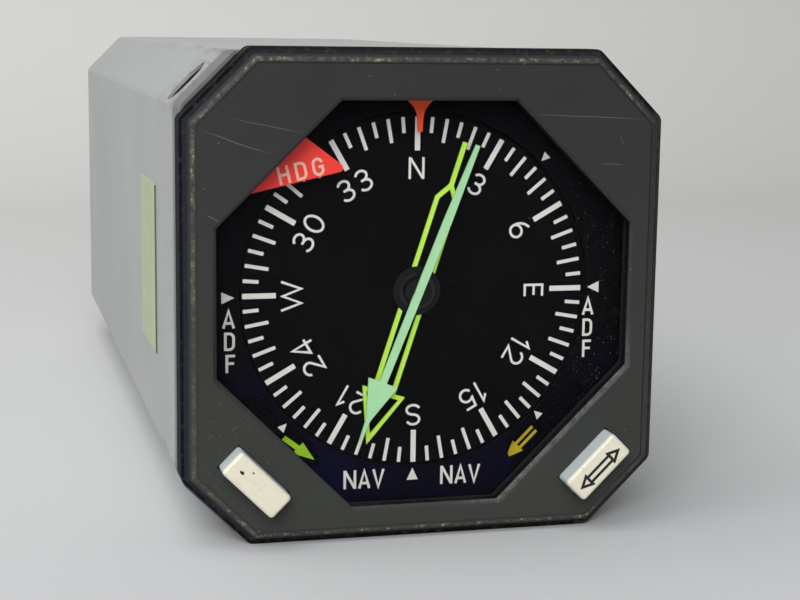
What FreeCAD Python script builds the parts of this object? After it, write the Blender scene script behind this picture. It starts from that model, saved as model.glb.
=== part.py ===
"""Radio magnetic indicator, a three-inch panel instrument.

Row frame: millimetres, +X right and +Z up as the pilot sees the dial, +Y into the panel.
The origin lies on the dial axis, in the plane where the bezel flange meets the panel.
"""
import FreeCAD, Part
import math
import os

V = FreeCAD.Vector
BACK = V(0, 1, 0)

# Bezel
flange_width = 82.8
flange_corner = 11.5
flange_depth = 5.0
front_setback = 1.1
front_depth = 2.2
front_round = 1.5
corner_round = 1.8
groove_width = 0.5
groove_depth = 0.6
side_bar = 4.68
top_bar = 7.5
bottom_bar = 4.85
opening_upper_corner = 20.67
opening_lower_corner = 22.82
opening_lip = 0.7
opening_round = 0.8

# Window
glass_thickness = 1.6
glass_overlap = 1.5
gasket_thickness = 0.4
gasket_width = 1.2
ledge_thickness = 0.8
ledge_inset = 0.3

# Housing sleeve
flange_overhang = 0.8
housing_corner = 8.9
housing_length = 205.0
sheet = 1.0
rebate_depth = 0.5
spigot_depth = 8.0
spigot_wall = 1.3
far_corner = 13.4
flag_corner = 12.4
access_hole_radius = 4.5
access_hole_back = 17.5
access_hole_shift = 1.6
data_plate_length = 32.0
data_plate_height = 31.5
data_plate_front = 28.5
data_plate_sheet = 0.3

# Gaps between one layer of the dial and the next, front to back
flag_gap = 0.3
flag_sheet = 0.3
single_gap = 0.6
single_sheet = 0.4
lubber_gap = 0.7
lubber_sheet = 0.35
double_gap = 0.3
double_sheet = 0.4
card_gap = 0.65
card_sheet = 0.8
mask_lead = 1.0
mask_sheet = 0.8
shutter_gap = 0.1
shutter_sheet = 0.4
lever_gap = 0.6
lever_sheet = 0.4

# Card and pointers
card_border = 5.12
card_rim_gap = 0.35
mask_flag_lap = 2.05
single_bearing_angle = 201.7
double_bearing_angle = 197.9
single_head_gap = 3.2
single_tail_gap = 3.6
double_head_gap = 2.5
double_tail_gap = 3.8
hub_radius = 4.2
cap_radius = 2.4
cap_height = 0.4
bar_width = 0.78
bar_half_gap = 1.72
tail_width = 0.82
fork_length = 2.6
fork_tail = 7.7
head_length = 9.3
head_half = 3.95
head_wall = 0.95
needle_tail_half = 0.40
needle_half = 0.76
needle_widest = 13.0
needle_neck_half = 0.66
needle_head_length = 10.6
needle_head_half = 2.75
needle_tip_length = 3.7
needle_tip_half = 0.42
needle_point_half = 0.16
lubber_half = 2.6
lubber_finger_half = 0.42
lubber_tab = 3.6
lubber_reach = 5.55
lubber_waist = 3.2
lubber_sweep = 1.45
lubber_foot = 2.0
lamp_radius = 0.95
lamp_bulb_radius = 0.75
lamp_cap = 0.8
lamp_length = 2.4
lamp_place = 12.0
lamp_offset_top = 2.8
lamp_offset_bottom = 1.75

# Coaxial shafts
single_shaft_radius = 1.0
double_shaft_radius = 2.0
card_tube_radius = 3.5
card_flange_radius = 6.5
card_flange_sheet = 0.5
shaft_run_on = 0.5
double_collar_radius = 3.15
double_collar_sheet = 0.2
running_fit = 0.05

# Gears
gear_pillar_gap = 2.24
wheel_teeth = 44
pinion_teeth = 12
gear_width = 2.2
pinion_extra = 0.3
tooth_share = 0.40
tooth_foot_share = 0.72
tooth_top_share = 0.24
tooth_addendum = 0.85
tooth_dedendum = 1.1
arbor_bite = 5.0
arbor_radius = 1.2
hub_boss_radius = 5.5
wheel_web = 1.2
wheel_rim = 1.6
wheel_holes = 5
wheel_hole_share = 0.36

# Plates and pillars
front_plate_thickness = 2.5
middle_plate_thickness = 2.0
motor_plate_thickness = 2.5
rear_plate_thickness = 2.0
gear_space = 1.5
plate_clearance = 0.1
pillar_inset = 8.0
pillar_radius = 2.2
rear_pillar_length = 62.0
rear_window_half = 22.0
rear_window_corner = 6.0
post_radius = 1.2
post_rivet = 0.3
post_inset = 1.4
post_height = 5.0

# Bearings
race_width = 3.0
shield_gap = 0.1
shield_inset = 0.2

# Motors and synchros
motor_inset = 5.2
motor_length = 34.0
motor_gearhead = 8.0
motor_cap = 2.5
motor_step = 0.7
motor_terminals = 3
synchro_inset = 3.7
synchro_length = 30.0
synchro_rim = 2.0
synchro_groove = 1.4
synchro_cap = 3.0
synchro_step = 1.2
synchro_terminals = 5
terminal_circle_share = 0.6
terminal_radius = 0.6
terminal_length = 2.5

# Heading flag, measured right and down from the corner where the opening's top and left lines meet
flag_tip_x = 22.87
flag_tip_z = 11.7
flag_upper_x = 14.02
flag_upper_z = 5.1
flag_back_x = 6.02
flag_back_z = 8.8
flag_lower_x = 4.62
flag_lower_z = 15.9
flag_tip_round = 0.72
flag_tab_x = 9.22
flag_tab_z = 7.6
flag_tab_width = 2.2
flag_tab_sheet = 0.6
flag_arm_width = 2.0
flag_eye_radius = 1.4
flag_hub_radius = 1.9
flag_hub_boss = 0.8
flag_pivot_x = 2.62
flag_pivot_z = 23.8
flag_shaft_radius = 0.8
flag_shaft_bite = 4.0
flag_meter_step = 1.2
flag_meter_radius = 5.2
flag_meter_length = 4.9

# Push-buttons and source shutters
button_inset = 8.42
button_length = 11.8
button_width = 4.9
button_proud = 4.0
button_travel = 2.0
button_round = 0.7
button_top_share = 0.9
button_gap = 0.15
collar_gap = 0.05
collar_sheet = 0.8
collar_margin = 0.8
collar_side_gap = 0.2
collar_run_on = 0.5
plunger_radius = 1.2
plunger_entry = 0.8
switch_length = 8.0
switch_width = 4.4
switch_depth = 3.4
spring_wire = 0.17
spring_small_radius = 1.6
spring_step = 0.35
spring_turns = 3
spring_facets = 12
spring_gap = 0.02
window_bridge = 1.1
shutter_side_room = 0.7
shutter_width = 3.9
shutter_travel = 8.0
shutter_margin = 0.5
window_near = 0.9
window_far = 9.0
window_width = 3.5

# Rear end
chip_columns = 4
chip_rows = 3
chip_front = 19.2
chip_width = 8.0
chip_length = 16.0
chip_height = 3.5
chip_pitch_x = 13.5
chip_pitch_y = 24.0
can_count = 3
can_side = 24.0
can_front = 18.0
can_pitch = 26.0
can_width = 12.0
can_length = 20.0
can_height = 9.0
relay_side = 22.0
relay_front = 76.0
relay_width = 16.0
relay_length = 12.0
relay_height = 5.0
core_width = 26.0
core_height = 18.0
core_stack = 16.0
core_limb = 4.5
core_shift = 10.0
winding_overhang = 4.0
winding_round = 1.5
connector_flange_sheet = 2.0
insert_height = 2.0
pin_height = 7.0
board_thickness = 1.6
board_half_gap = 14.0
board_bite = 1.2
board_inset = 3.0
rail_height = 40.0
rail_depth = 4.0
rail_gap = 0.5
cover_thickness = 2.5
cover_rim = 8.5
cover_wall = 2.0
connector_flange = 28.0
connector_radius = 12.5
connector_length = 12.0
connector_wall = 1.5
pin_radius = 0.5
pin_pitch = 3.0
pin_rings = 3
pin_ring_step = 6
outer_ring_gaps = 4

# Screws
screw_radius = 0.8
head_radius = 1.5
head_height = 1.4
head_sink = 0.6
countersink_share = 0.75
screw_fit = 0.05
bezel_screw_inset = 2.83
bezel_screw_bite = 1.0
plate_screw_bite = 4.0
plate_screw_shift = 3.5
blind_margin = 0.2
cover_screw_height = 18.0
connector_screw_inset = 3.0
connector_round = 2.5

# How much a cut corner's leg shrinks as a wall is set in by one
CORNER = 2 - math.sqrt(2)
DIAGONAL = math.sqrt(0.5)

# Layers from the bezel face to the back of the movement
y_face = -(flange_depth + front_depth)
y_frame = -flange_depth
y_glass = y_frame + glass_thickness
y_gasket = y_glass + gasket_thickness
y_ledge = y_gasket + ledge_thickness
y_flag = y_ledge + flag_gap
y_single = y_flag + flag_sheet + single_gap
y_lubber = y_single + single_sheet + lubber_gap
y_double = y_lubber + lubber_sheet + double_gap
y_card = y_double + double_sheet + card_gap
y_mask = y_card - mask_lead
y_shutter = y_mask + mask_sheet + shutter_gap
y_pocket = y_shutter + shutter_sheet + shutter_gap
y_lever = y_card + card_sheet + card_flange_sheet + lever_gap
y_front_plate = spigot_depth
y_card_gear = y_front_plate + front_plate_thickness + gear_space
y_middle_plate = y_card_gear + gear_width + gear_space
y_double_gear = y_middle_plate + middle_plate_thickness + gear_space
y_single_gear = y_double_gear + gear_width + gear_space
y_motor_plate = y_single_gear + gear_width + gear_space
y_motors = y_motor_plate + motor_plate_thickness
y_rear_plate = y_motors + rear_pillar_length
y_boards = y_rear_plate + rear_plate_thickness
y_cover = housing_length - cover_thickness

flange_half = flange_width / 2
flange_corner_reach = (flange_width - flange_corner) * DIAGONAL
front_half = flange_half - front_setback
front_corner = flange_corner - CORNER * front_setback
opening_half = front_half - side_bar
opening_top = front_half - top_bar
opening_bottom = front_half - bottom_bar
housing_half = flange_half - flange_overhang
inner_half = housing_half - sheet
inner_corner = housing_corner - CORNER * sheet
spigot_half = inner_half - plate_clearance
spigot_corner = inner_corner - CORNER * plate_clearance
cavity_half = spigot_half - spigot_wall
card_radius = opening_half - card_border
button_place = flange_corner_reach - button_inset
shutter_place = card_radius + card_rim_gap + window_bridge + window_width / 2

# Distance |x| + |z| of the corner walls inside the frame
lower_wall = (shutter_place + shutter_width / 2 + shutter_side_room) / DIAGONAL
far_wall = 2 * cavity_half - far_corner
flag_wall = 2 * cavity_half - flag_corner
mask_flag_corner = opening_half + opening_top - opening_upper_corner + mask_flag_lap

# Pointer lengths from the hub
single_head = card_radius - single_head_gap
single_tail = card_radius - single_tail_gap
double_head = card_radius - double_head_gap
double_tail = card_radius - double_tail_gap
tail_join = double_tail - fork_tail
tail_fork = tail_join - fork_length
head_base = double_head - head_length
needle_head_base = single_head - needle_head_length
needle_tip_base = single_head - needle_tip_length


def prism(points, y0, y1):
    """A plate of the given (x, z) outline from y0 to y1."""
    wire = Part.makePolygon([V(x, y0, z) for x, z in points + points[:1]])
    return Part.Face(wire).extrude(V(0, y1 - y0, 0))


def disc(radius, y0, y1, x=0.0, z=0.0):
    return Part.makeCylinder(radius, y1 - y0, V(x, y0, z), BACK)


def ring(outer, inner, y0, y1, x=0.0, z=0.0):
    return disc(outer, y0, y1, x, z).cut(disc(inner, y0 - 1, y1 + 1, x, z))


def octagon(half, low, high, legs):
    """Outline of a box with cut corners; legs run top left, top right, bottom right, bottom left."""
    tl, tr, br, bl = legs
    return [(-half, high - tl), (-half + tl, high), (half - tr, high), (half, high - tr),
            (half, low + br), (half - br, low), (-half + bl, low), (-half, low + bl)]


def square(half, leg, y0, y1, rounding=0.0):
    """A square plate with four equal cut corners, its long edges rounded."""
    solid = prism(octagon(half, -half, half, [leg] * 4), y0, y1)
    return rounded(solid, rounding) if rounding else solid


def rounded(solid, radius):
    """Round the edges that run front to back."""
    edges = [e for e in solid.Edges
             if len(e.Vertexes) == 2 and abs(e.tangentAt(e.FirstParameter).y) > 0.999]
    return solid.makeFillet(radius, edges)


def front_edges(solid, y):
    return [e for e in solid.Edges if all(abs(v.Point.y - y) < 1e-6 for v in e.Vertexes)]


def opening(grow, y0, y1):
    """The octagonal dial opening, enlarged by grow on every side."""
    legs = [opening_upper_corner + CORNER * grow] * 2 + [opening_lower_corner + CORNER * grow] * 2
    outline = octagon(opening_half + grow, -opening_bottom - grow, opening_top + grow, legs)
    return rounded(prism(outline, y0, y1), opening_round)


def at_diagonal(solid, quarter):
    """Turn a solid built on the +X side onto a diagonal: 0 is top right, then clockwise."""
    result = solid.copy()
    result.rotate(V(0, 0, 0), BACK, -45.0 + 90.0 * quarter)
    return result


def turned(solid, bearing):
    """Turn a solid that was built pointing up (+Z) to a compass bearing, clockwise from the front."""
    result = solid.copy()
    result.rotate(V(0, 0, 0), BACK, bearing)
    return result


def strip(a, b, width, y0, y1):
    """A flat bar between two (x, z) points."""
    along = V(b[0] - a[0], 0, b[1] - a[1])
    along.normalize()
    side = V(along.z, 0, -along.x) * (width / 2)
    corners = [(a[0] + side.x, a[1] + side.z), (b[0] + side.x, b[1] + side.z),
               (b[0] - side.x, b[1] - side.z), (a[0] - side.x, a[1] - side.z)]
    return prism(corners, y0, y1)


def fuse(parts):
    whole = parts[0].multiFuse(parts[1:]) if len(parts) > 1 else parts[0]
    return whole.removeSplitter()


def slot(length, width, y0, y1, x, z):
    """A round-ended bar along Z."""
    half = (length - width) / 2
    body = prism([(x - width / 2, z - half), (x + width / 2, z - half),
                  (x + width / 2, z + half), (x - width / 2, z + half)], y0, y1)
    return fuse([body, disc(width / 2, y0, y1, x, z - half), disc(width / 2, y0, y1, x, z + half)])


def box(x0, x1, y0, y1, z0, z1):
    return Part.makeBox(x1 - x0, y1 - y0, z1 - z0, V(x0, y0, z0))


# Bezel, window and housing
button_half_slot = (button_width / 2 + button_gap, button_length / 2 + button_gap)
collar_half = (button_width / 2 + collar_margin, button_length / 2 + collar_margin)
y_collar = y_frame + collar_gap
y_recess = y_collar + collar_sheet + button_travel + collar_run_on
button_quarters = {"left": 2, "right": 1}
bezel_screw_radius = flange_corner_reach - bezel_screw_inset
y_bezel_head = spigot_depth - head_height - head_sink


def front_bezel():
    """The front plate: rounded outer edge, sloped lip round the opening, two button slots."""
    body = square(front_half, front_corner, y_face, y_frame - groove_width, corner_round)
    body = body.makeFillet(front_round, front_edges(body, y_face))
    land_half = front_half - groove_depth
    land_corner = front_corner - CORNER * groove_depth
    body = fuse([body, square(land_half, land_corner, y_frame - groove_width, y_frame, corner_round)])
    hole = opening(0, y_face - 1, y_frame + 1)
    body = body.cut(hole)
    inner = [e for e in front_edges(body, y_face)
             if max(abs(v.Point.x) for v in e.Vertexes) < opening_half + opening_lip
             and max(abs(v.Point.z) for v in e.Vertexes) < opening_bottom + opening_lip]
    body = body.makeChamfer(opening_lip, inner)
    for quarter in button_quarters.values():
        half_w, half_l = button_half_slot
        cut = box(button_place - half_w, button_place + half_w, y_face - 1, y_frame + 1, -half_l, half_l)
        body = body.cut(at_diagonal(cut, quarter))
    for quarter in range(4):
        depth = bezel_screw_bite + blind_margin
        pilot = disc(screw_radius, y_frame - depth, y_frame + 1, bezel_screw_radius, 0)
        body = body.cut(at_diagonal(pilot, quarter))
    return body


def cavity(y0, y1, sums):
    """Room inside the frame; sums are |x| + |z| at the four corner walls, from top left clockwise."""
    legs = [2 * cavity_half - s for s in sums]
    return prism(octagon(cavity_half, -cavity_half, cavity_half, legs), y0, y1)


def bezel_frame():
    """Flange and spigot in one casting, with the window seat, dial room and button guides."""
    body = square(flange_half, flange_corner, y_frame, 0, corner_round)
    housing_gap = plate_clearance
    seat = square(housing_half + housing_gap, housing_corner + CORNER * housing_gap, -rebate_depth, 1)
    body = body.cut(seat)
    body = fuse([body, square(spigot_half, spigot_corner, -rebate_depth, spigot_depth)])
    body = body.cut(opening(glass_overlap + plate_clearance, y_frame - 1, y_gasket))
    body = body.cut(opening(ledge_inset, y_frame, y_ledge + 1))
    body = body.cut(cavity(y_ledge, y_pocket, [flag_wall, lower_wall, lower_wall, lower_wall]))
    body = body.cut(cavity(y_pocket, spigot_depth + 1, [flag_wall, far_wall, far_wall, far_wall]))
    for quarter in button_quarters.values():
        half_w, half_l = (size + collar_side_gap for size in collar_half)
        room = box(button_place - half_w, button_place + half_w, y_frame - 1, y_recess, -half_l, half_l)
        guide = disc(plunger_radius + running_fit, y_recess - 1, y_pocket + 1, button_place, 0)
        body = body.cut(at_diagonal(fuse([room, guide]), quarter))
    for quarter in range(4):
        shank = disc(screw_radius + screw_fit, y_frame - 1, spigot_depth + 1, bezel_screw_radius, 0)
        sink = disc(head_radius + plate_clearance, y_bezel_head, spigot_depth + 1, bezel_screw_radius, 0)
        body = body.cut(at_diagonal(fuse([shank, sink]), quarter))
    for x, z in plate_screw_places():
        depth = plate_screw_bite + blind_margin
        body = body.cut(disc(screw_radius, spigot_depth - depth, spigot_depth + 1, x, z))
    return body


def bezel_screws():
    screw = fuse([disc(screw_radius, y_frame - bezel_screw_bite, y_bezel_head, bezel_screw_radius, 0),
                  disc(head_radius, y_bezel_head, y_bezel_head + head_height, bezel_screw_radius, 0)])
    return Part.makeCompound([at_diagonal(screw, quarter) for quarter in range(4)])


def window_glass():
    return opening(glass_overlap, y_frame, y_glass)


def window_gasket():
    outer = opening(glass_overlap, y_glass, y_gasket)
    return outer.cut(opening(glass_overlap - gasket_width, y_glass - 1, y_gasket + 1))


def housing_sleeve():
    """Folded sheet sleeve, open at both ends, with the access hole in its upper left corner face."""
    body = square(housing_half, housing_corner, -rebate_depth, housing_length, corner_round)
    body = body.cut(square(inner_half, inner_corner, -rebate_depth - 1, housing_length + 1,
                           corner_round - sheet / 2))
    reach = (2 * housing_half - housing_corner) * DIAGONAL
    drill = Part.makeCylinder(access_hole_radius, 3 * sheet, V(reach - 2 * sheet, access_hole_back,
                              access_hole_shift), V(1, 0, 0))
    body = body.cut(at_diagonal(drill, 3))
    for x, z in cover_screw_places():
        body = body.cut(cover_screw(x, z, screw_fit))
    return body


def data_plate():
    half = data_plate_height / 2
    return box(-housing_half - data_plate_sheet, -housing_half,
               data_plate_front, data_plate_front + data_plate_length, -half, half)


# Dial
def mask_outline():
    half = cavity_half - plate_clearance
    corner = lower_wall - 2 * plate_clearance
    return octagon(half, -half, half, [2 * half - s for s in (mask_flag_corner, corner, corner, corner)])


def dial_mask():
    """Fixed black mask round the card, with two oblong windows for each source shutter."""
    body = prism(mask_outline(), y_mask, y_mask + mask_sheet)
    body = body.cut(disc(card_radius + card_rim_gap, y_mask - 1, y_mask + mask_sheet + 1))
    y0, y1 = y_mask - 1, y_mask + mask_sheet + 1
    length = window_far - window_near
    middle = (window_far + window_near) / 2
    for quarter in button_quarters.values():
        for side in (-1, 1):
            cut = slot(length, window_width, y0, y1, shutter_place, side * middle)
            body = body.cut(at_diagonal(cut, quarter))
    for x, z in post_places():
        body = body.cut(disc(post_radius / 2 + screw_fit, y_mask - 1, y_mask + mask_sheet + 1, x, z))
    return body


def post_places():
    post_x = cavity_half - post_inset
    return [(sx * post_x, sz * post_height) for sx in (-1, 1) for sz in (-1, 1)]


def mask_posts():
    """Four posts that carry the mask on the front plate; each ends in a riveted tip."""
    y_back = y_mask + mask_sheet
    posts = []
    for x, z in post_places():
        posts.append(fuse([disc(post_radius, y_back, y_front_plate, x, z),
                           disc(post_radius / 2, y_mask - post_rivet, y_back, x, z)]))
    return Part.makeCompound(posts)


def lubber_pointer():
    """Orange index at the top of the dial: a tab that sweeps in to a narrow finger."""
    y0, y1 = y_lubber, y_lubber + lubber_sheet
    top, waist, tip = opening_top + lubber_tab, opening_top - lubber_waist, opening_top - lubber_reach
    wide, narrow = lubber_half, lubber_finger_half
    corners = [(-narrow, tip), (-narrow, waist), (-wide, opening_top), (-wide, top),
               (wide, top), (wide, opening_top), (narrow, waist), (narrow, tip)]
    points = [V(x, y0, z) for x, z in corners]
    edges = [Part.makeLine(a, b) for a, b in zip(points, points[1:] + points[:1])]
    middle = V(lubber_sweep, y0, (opening_top + waist) / 2)
    edges[5] = Part.Arc(points[5], middle, points[6]).toShape()
    middle = V(-lubber_sweep, y0, middle.z)
    edges[1] = Part.Arc(points[1], middle, points[2]).toShape()
    finger = Part.Face(Part.Wire(edges)).extrude(V(0, y1 - y0, 0))
    foot = box(-wide, wide, y1, y_mask, top - lubber_foot, top)
    return fuse([finger, foot])


def compass_card():
    return ring(card_radius, card_tube_radius, y_card, y_card + card_sheet)


def card_tube():
    y0 = y_card
    bore = double_shaft_radius + running_fit
    back = y_card_gear + gear_width + shaft_run_on
    tube = ring(card_tube_radius, bore, y0, back)
    y1 = y_card + card_sheet
    return fuse([tube, ring(card_flange_radius, bore, y1, y1 + card_flange_sheet)])


def dial_lamps():
    """Four filament lamps that stand on the mask behind the bezel's top and bottom bars."""
    lamps = []
    for x in (-lamp_place, lamp_place):
        for z in (opening_top + lamp_offset_top, -opening_bottom - lamp_offset_bottom):
            lamps.append(fuse([disc(lamp_radius, y_mask - lamp_cap, y_mask, x, z),
                               disc(lamp_bulb_radius, y_mask - lamp_length, y_mask - lamp_cap, x, z)]))
    return Part.makeCompound(lamps)


# Pointers
def double_pointer():
    """Double-bar pointer: tail, fork, two bars, open arrowhead, and the hub disc they meet on."""
    y0, y1 = y_double, y_double + double_sheet
    half, base = bar_half_gap, head_base
    parts = [strip((0, -double_tail), (0, -tail_join), tail_width, y0, y1), disc(hub_radius, y0, y1)]
    for side in (-1, 1):
        parts.append(strip((0, -tail_join), (side * half, -tail_fork), bar_width, y0, y1))
        parts.append(disc(bar_width / 2, y0, y1, side * half, -tail_fork))
        parts.append(strip((side * half, -tail_fork), (side * half, base), bar_width, y0, y1))
    low, high = base - bar_width / 2, base + bar_width / 2
    inside = head_half - head_wall
    head = prism([(-head_half, low), (0, double_head), (head_half, low)], y0, y1)
    window = [(-inside, high), (0, double_head - 2 * head_wall), (inside, high)]
    head = head.cut(prism(window, y0 - 1, y1 + 1))
    neck = half - bar_width / 2
    head = head.cut(box(-neck, neck, y0 - 1, y1 + 1, low - bar_width, high + bar_width / 2))
    flat = fuse(parts + [head]).cut(disc(double_shaft_radius, y0 - 1, y1 + 1))
    return turned(flat, double_bearing_angle)


def double_shaft():
    bore = single_shaft_radius + running_fit
    back = y_double_gear + gear_width + shaft_run_on
    tube = ring(double_shaft_radius, bore, y_double, back)
    return fuse([tube, ring(double_collar_radius, bore, y_double - double_collar_sheet, y_double)])


def single_pointer():
    """Single-bar pointer: widest over the tail, solid arrowhead with a thin tip."""
    y0, y1 = y_single, y_single + single_sheet
    right = [(needle_tail_half, -single_tail), (needle_half, -needle_widest),
             (needle_neck_half, needle_head_base), (needle_head_half, needle_head_base),
             (needle_tip_half, needle_tip_base), (needle_point_half, single_head)]
    flat = prism(right + [(-x, z) for x, z in reversed(right)], y0, y1)
    hub = disc(cap_radius, y1, y1 + cap_height)
    body = fuse([flat, hub]).cut(disc(single_shaft_radius, y0 + single_sheet / 2, y1 + 1))
    return turned(body, single_bearing_angle)


def single_shaft():
    return disc(single_shaft_radius, y_single + single_sheet / 2, y_motors + shaft_run_on)


# Gears
pillar_place = spigot_half - pillar_inset
gear_reach = pillar_place / DIAGONAL - pillar_radius - gear_pillar_gap
tooth_module = gear_reach / (1.5 * wheel_teeth + tooth_addendum)
wheel_pitch = tooth_module * wheel_teeth / 2
pinion_pitch = tooth_module * pinion_teeth / 2
motor_place = wheel_pitch + pinion_pitch
synchro_place = 2 * wheel_pitch
motor_radius = wheel_pitch - motor_inset
synchro_radius = wheel_pitch - synchro_inset


def toothed(teeth, phase, y0, y1, x=0.0, z=0.0):
    """Spur gear blank with straight-flanked teeth; phase is the angle of one tooth's middle."""
    pitch = tooth_module * teeth / 2
    tip, root = pitch + tooth_addendum * tooth_module, pitch - tooth_dedendum * tooth_module
    step = 2 * math.pi / teeth
    foot, top = step * tooth_share * tooth_foot_share, step * tooth_share * tooth_top_share
    points = []
    for i in range(teeth):
        middle = phase + i * step
        for radius, offset in ((root, -foot), (tip, -top), (tip, top), (root, foot)):
            angle = middle + offset
            points.append((x + radius * math.cos(angle), z + radius * math.sin(angle)))
    return prism(points, y0, y1)


def wheel(bore, phase, y0, x=0.0, z=0.0):
    """A 44-tooth wheel with a recessed web, five lightening holes and a boss on its shaft."""
    y1 = y0 + gear_width
    blank = toothed(wheel_teeth, phase, y0, y1, x, z)
    rim_inner = wheel_pitch - wheel_rim
    blank = blank.cut(ring(rim_inner, hub_boss_radius, y0 - 1, y0 + gear_width - wheel_web, x, z))
    spot = (rim_inner + hub_boss_radius) / 2
    hole = (rim_inner - hub_boss_radius) * wheel_hole_share
    for i in range(wheel_holes):
        angle = 2 * math.pi * i / wheel_holes
        dx, dz = place(angle, spot)
        blank = blank.cut(disc(hole, y0 - 1, y1 + 1, x + dx, z + dz))
    return blank.cut(disc(bore, y0 - 1, y1 + 1, x, z))


def mesh_phase(direction, teeth):
    """Phase of a gear that meshes with the central wheel, whose first tooth points along +X."""
    behind = direction % (2 * math.pi / wheel_teeth)
    return direction + math.pi + behind * wheel_teeth / teeth + math.pi / teeth


def place(direction, distance):
    return distance * math.cos(direction), distance * math.sin(direction)


trains = {
    "card": (y_card_gear, math.radians(90), math.radians(45)),
    "double": (y_double_gear, math.radians(0), math.radians(-45)),
    "single": (y_single_gear, math.radians(-90), math.radians(-135)),
}


def motor_pinion(name):
    y_gear, direction, _ = trains[name]
    x, z = place(direction, motor_place)
    phase = mesh_phase(direction, pinion_teeth)
    y0, y1 = y_gear - pinion_extra, y_gear + gear_width + pinion_extra
    teeth = toothed(pinion_teeth, phase, y0, y1, x, z)
    arbor = disc(arbor_radius, y1, y_motors + arbor_bite, x, z)
    return fuse([teeth, arbor])


def synchro_gear(name):
    y_gear, _, direction = trains[name]
    x, z = place(direction, synchro_place)
    phase = mesh_phase(direction, wheel_teeth)
    gear = wheel(arbor_radius, phase, y_gear, x, z)
    arbor = disc(arbor_radius, y_gear, y_motors + arbor_bite, x, z)
    return fuse([gear, arbor])


def motor(name):
    """Servo motor: gearhead, can, and a rear cap with three terminals."""
    _, direction, _ = trains[name]
    x, z = place(direction, motor_place)
    y0 = y_motors
    y1 = y0 + motor_gearhead
    y2 = y0 + motor_length - motor_cap
    body = fuse([disc(motor_radius, y0, y1, x, z), disc(motor_radius - motor_step, y1, y2, x, z),
                 disc(motor_radius - 2 * motor_step, y2, y2 + motor_cap, x, z)])
    return with_terminals(body, motor_terminals, motor_radius / 2, y2 + motor_cap, x, z)


def synchro(name):
    """Synchro: stepped can with a clamping groove behind its front rim."""
    _, _, direction = trains[name]
    x, z = place(direction, synchro_place)
    y0 = y_motors
    y1 = y0 + synchro_rim
    y2 = y1 + synchro_groove
    y3 = y0 + synchro_length - synchro_cap
    body = fuse([disc(synchro_radius, y0, y1, x, z), disc(synchro_radius - synchro_step, y1, y2, x, z),
                 disc(synchro_radius, y2, y3, x, z),
                 disc(synchro_radius - synchro_step, y3, y3 + synchro_cap, x, z)])
    circle = synchro_radius * terminal_circle_share
    return with_terminals(body, synchro_terminals, circle, y3 + synchro_cap, x, z)


def with_terminals(body, count, circle, y, x, z):
    """Add solder pins round the rear cap, and bore the front for the arbor."""
    for i in range(count):
        dx, dz = place(2 * math.pi * i / count, circle)
        body = body.fuse(disc(terminal_radius, y, y + terminal_length, x + dx, z + dz))
    bore = disc(arbor_radius + running_fit, y_motors - 1, y_motors + arbor_bite + blind_margin, x, z)
    return body.cut(bore)


# Bearings, plates and pillars
def bearing(bore, outer, y0, thickness):
    """Shielded ball bearing: outer race with its shield, and the inner race, a hair apart."""
    wall = (outer - bore) / 3
    outer_race = ring(outer, outer - wall, y0, y0 + thickness)
    shield = ring(outer - wall, bore + wall + shield_gap, y0 + shield_inset, y0 + thickness - shield_inset)
    return Part.makeCompound([fuse([outer_race, shield]), ring(bore + wall, bore, y0, y0 + thickness)])


card_race = card_tube_radius + race_width
double_race = double_shaft_radius + race_width
single_race = single_shaft_radius + race_width


def pillar_places():
    return [(sx * pillar_place, sz * pillar_place) for sx in (-1, 1) for sz in (-1, 1)]


def plate_screw_places():
    """Screws beside each corner that hold the front plate to the spigot."""
    along = plate_screw_shift
    centre = (far_wall / 2 + spigot_half - spigot_corner / 2) / 2
    return [(sx * (centre + along), sz * (centre - along)) for sx in (-1, 1) for sz in (-1, 1)]


def plate_blank(y0, thickness):
    return square(spigot_half - plate_clearance, spigot_corner, y0, y0 + thickness, corner_round)


def front_plate():
    y0, y1 = y_front_plate, y_front_plate + front_plate_thickness
    body = plate_blank(y0, front_plate_thickness)
    body = body.cut(disc(card_race, y0 - 1, y1 + 1))
    body = body.cut(disc(flag_shaft_radius + running_fit, y0 - 1, y1 + 1, *flag_pivot))
    for x, z in plate_screw_places():
        body = body.cut(disc(screw_radius + screw_fit, y0 - 1, y1 + 1, x, z))
    return body


def middle_plate():
    y0, y1 = y_middle_plate, y_middle_plate + middle_plate_thickness
    body = plate_blank(y0, middle_plate_thickness)
    body = body.cut(disc(double_race, y0 - 1, y1 + 1))
    _, motor_direction, synchro_direction = trains["card"]
    for direction, distance in ((motor_direction, motor_place), (synchro_direction, synchro_place)):
        x, z = place(direction, distance)
        body = body.cut(disc(arbor_radius + running_fit, y0 - 1, y1 + 1, x, z))
    return body


def motor_plate():
    y0, y1 = y_motor_plate, y_motors
    body = plate_blank(y0, motor_plate_thickness)
    body = body.cut(disc(single_race, y0 - 1, y1 + 1))
    for _, motor_direction, synchro_direction in trains.values():
        for direction, distance in ((motor_direction, motor_place), (synchro_direction, synchro_place)):
            x, z = place(direction, distance)
            body = body.cut(disc(arbor_radius + running_fit, y0 - 1, y1 + 1, x, z))
    return body


def rear_plate():
    """Carries the board rails; a large window lets the wiring through."""
    body = plate_blank(y_rear_plate, rear_plate_thickness)
    return body.cut(square(rear_window_half, rear_window_corner, y_rear_plate - 1, y_boards + 1))


def plate_pillars():
    spans = ((y_front_plate + front_plate_thickness, y_middle_plate),
             (y_middle_plate + middle_plate_thickness, y_motor_plate),
             (y_motors, y_rear_plate))
    pillars = []
    for y0, y1 in spans:
        for x, z in pillar_places():
            pillars.append(disc(pillar_radius, y0, y1, x, z))
    return Part.makeCompound(pillars)


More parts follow.
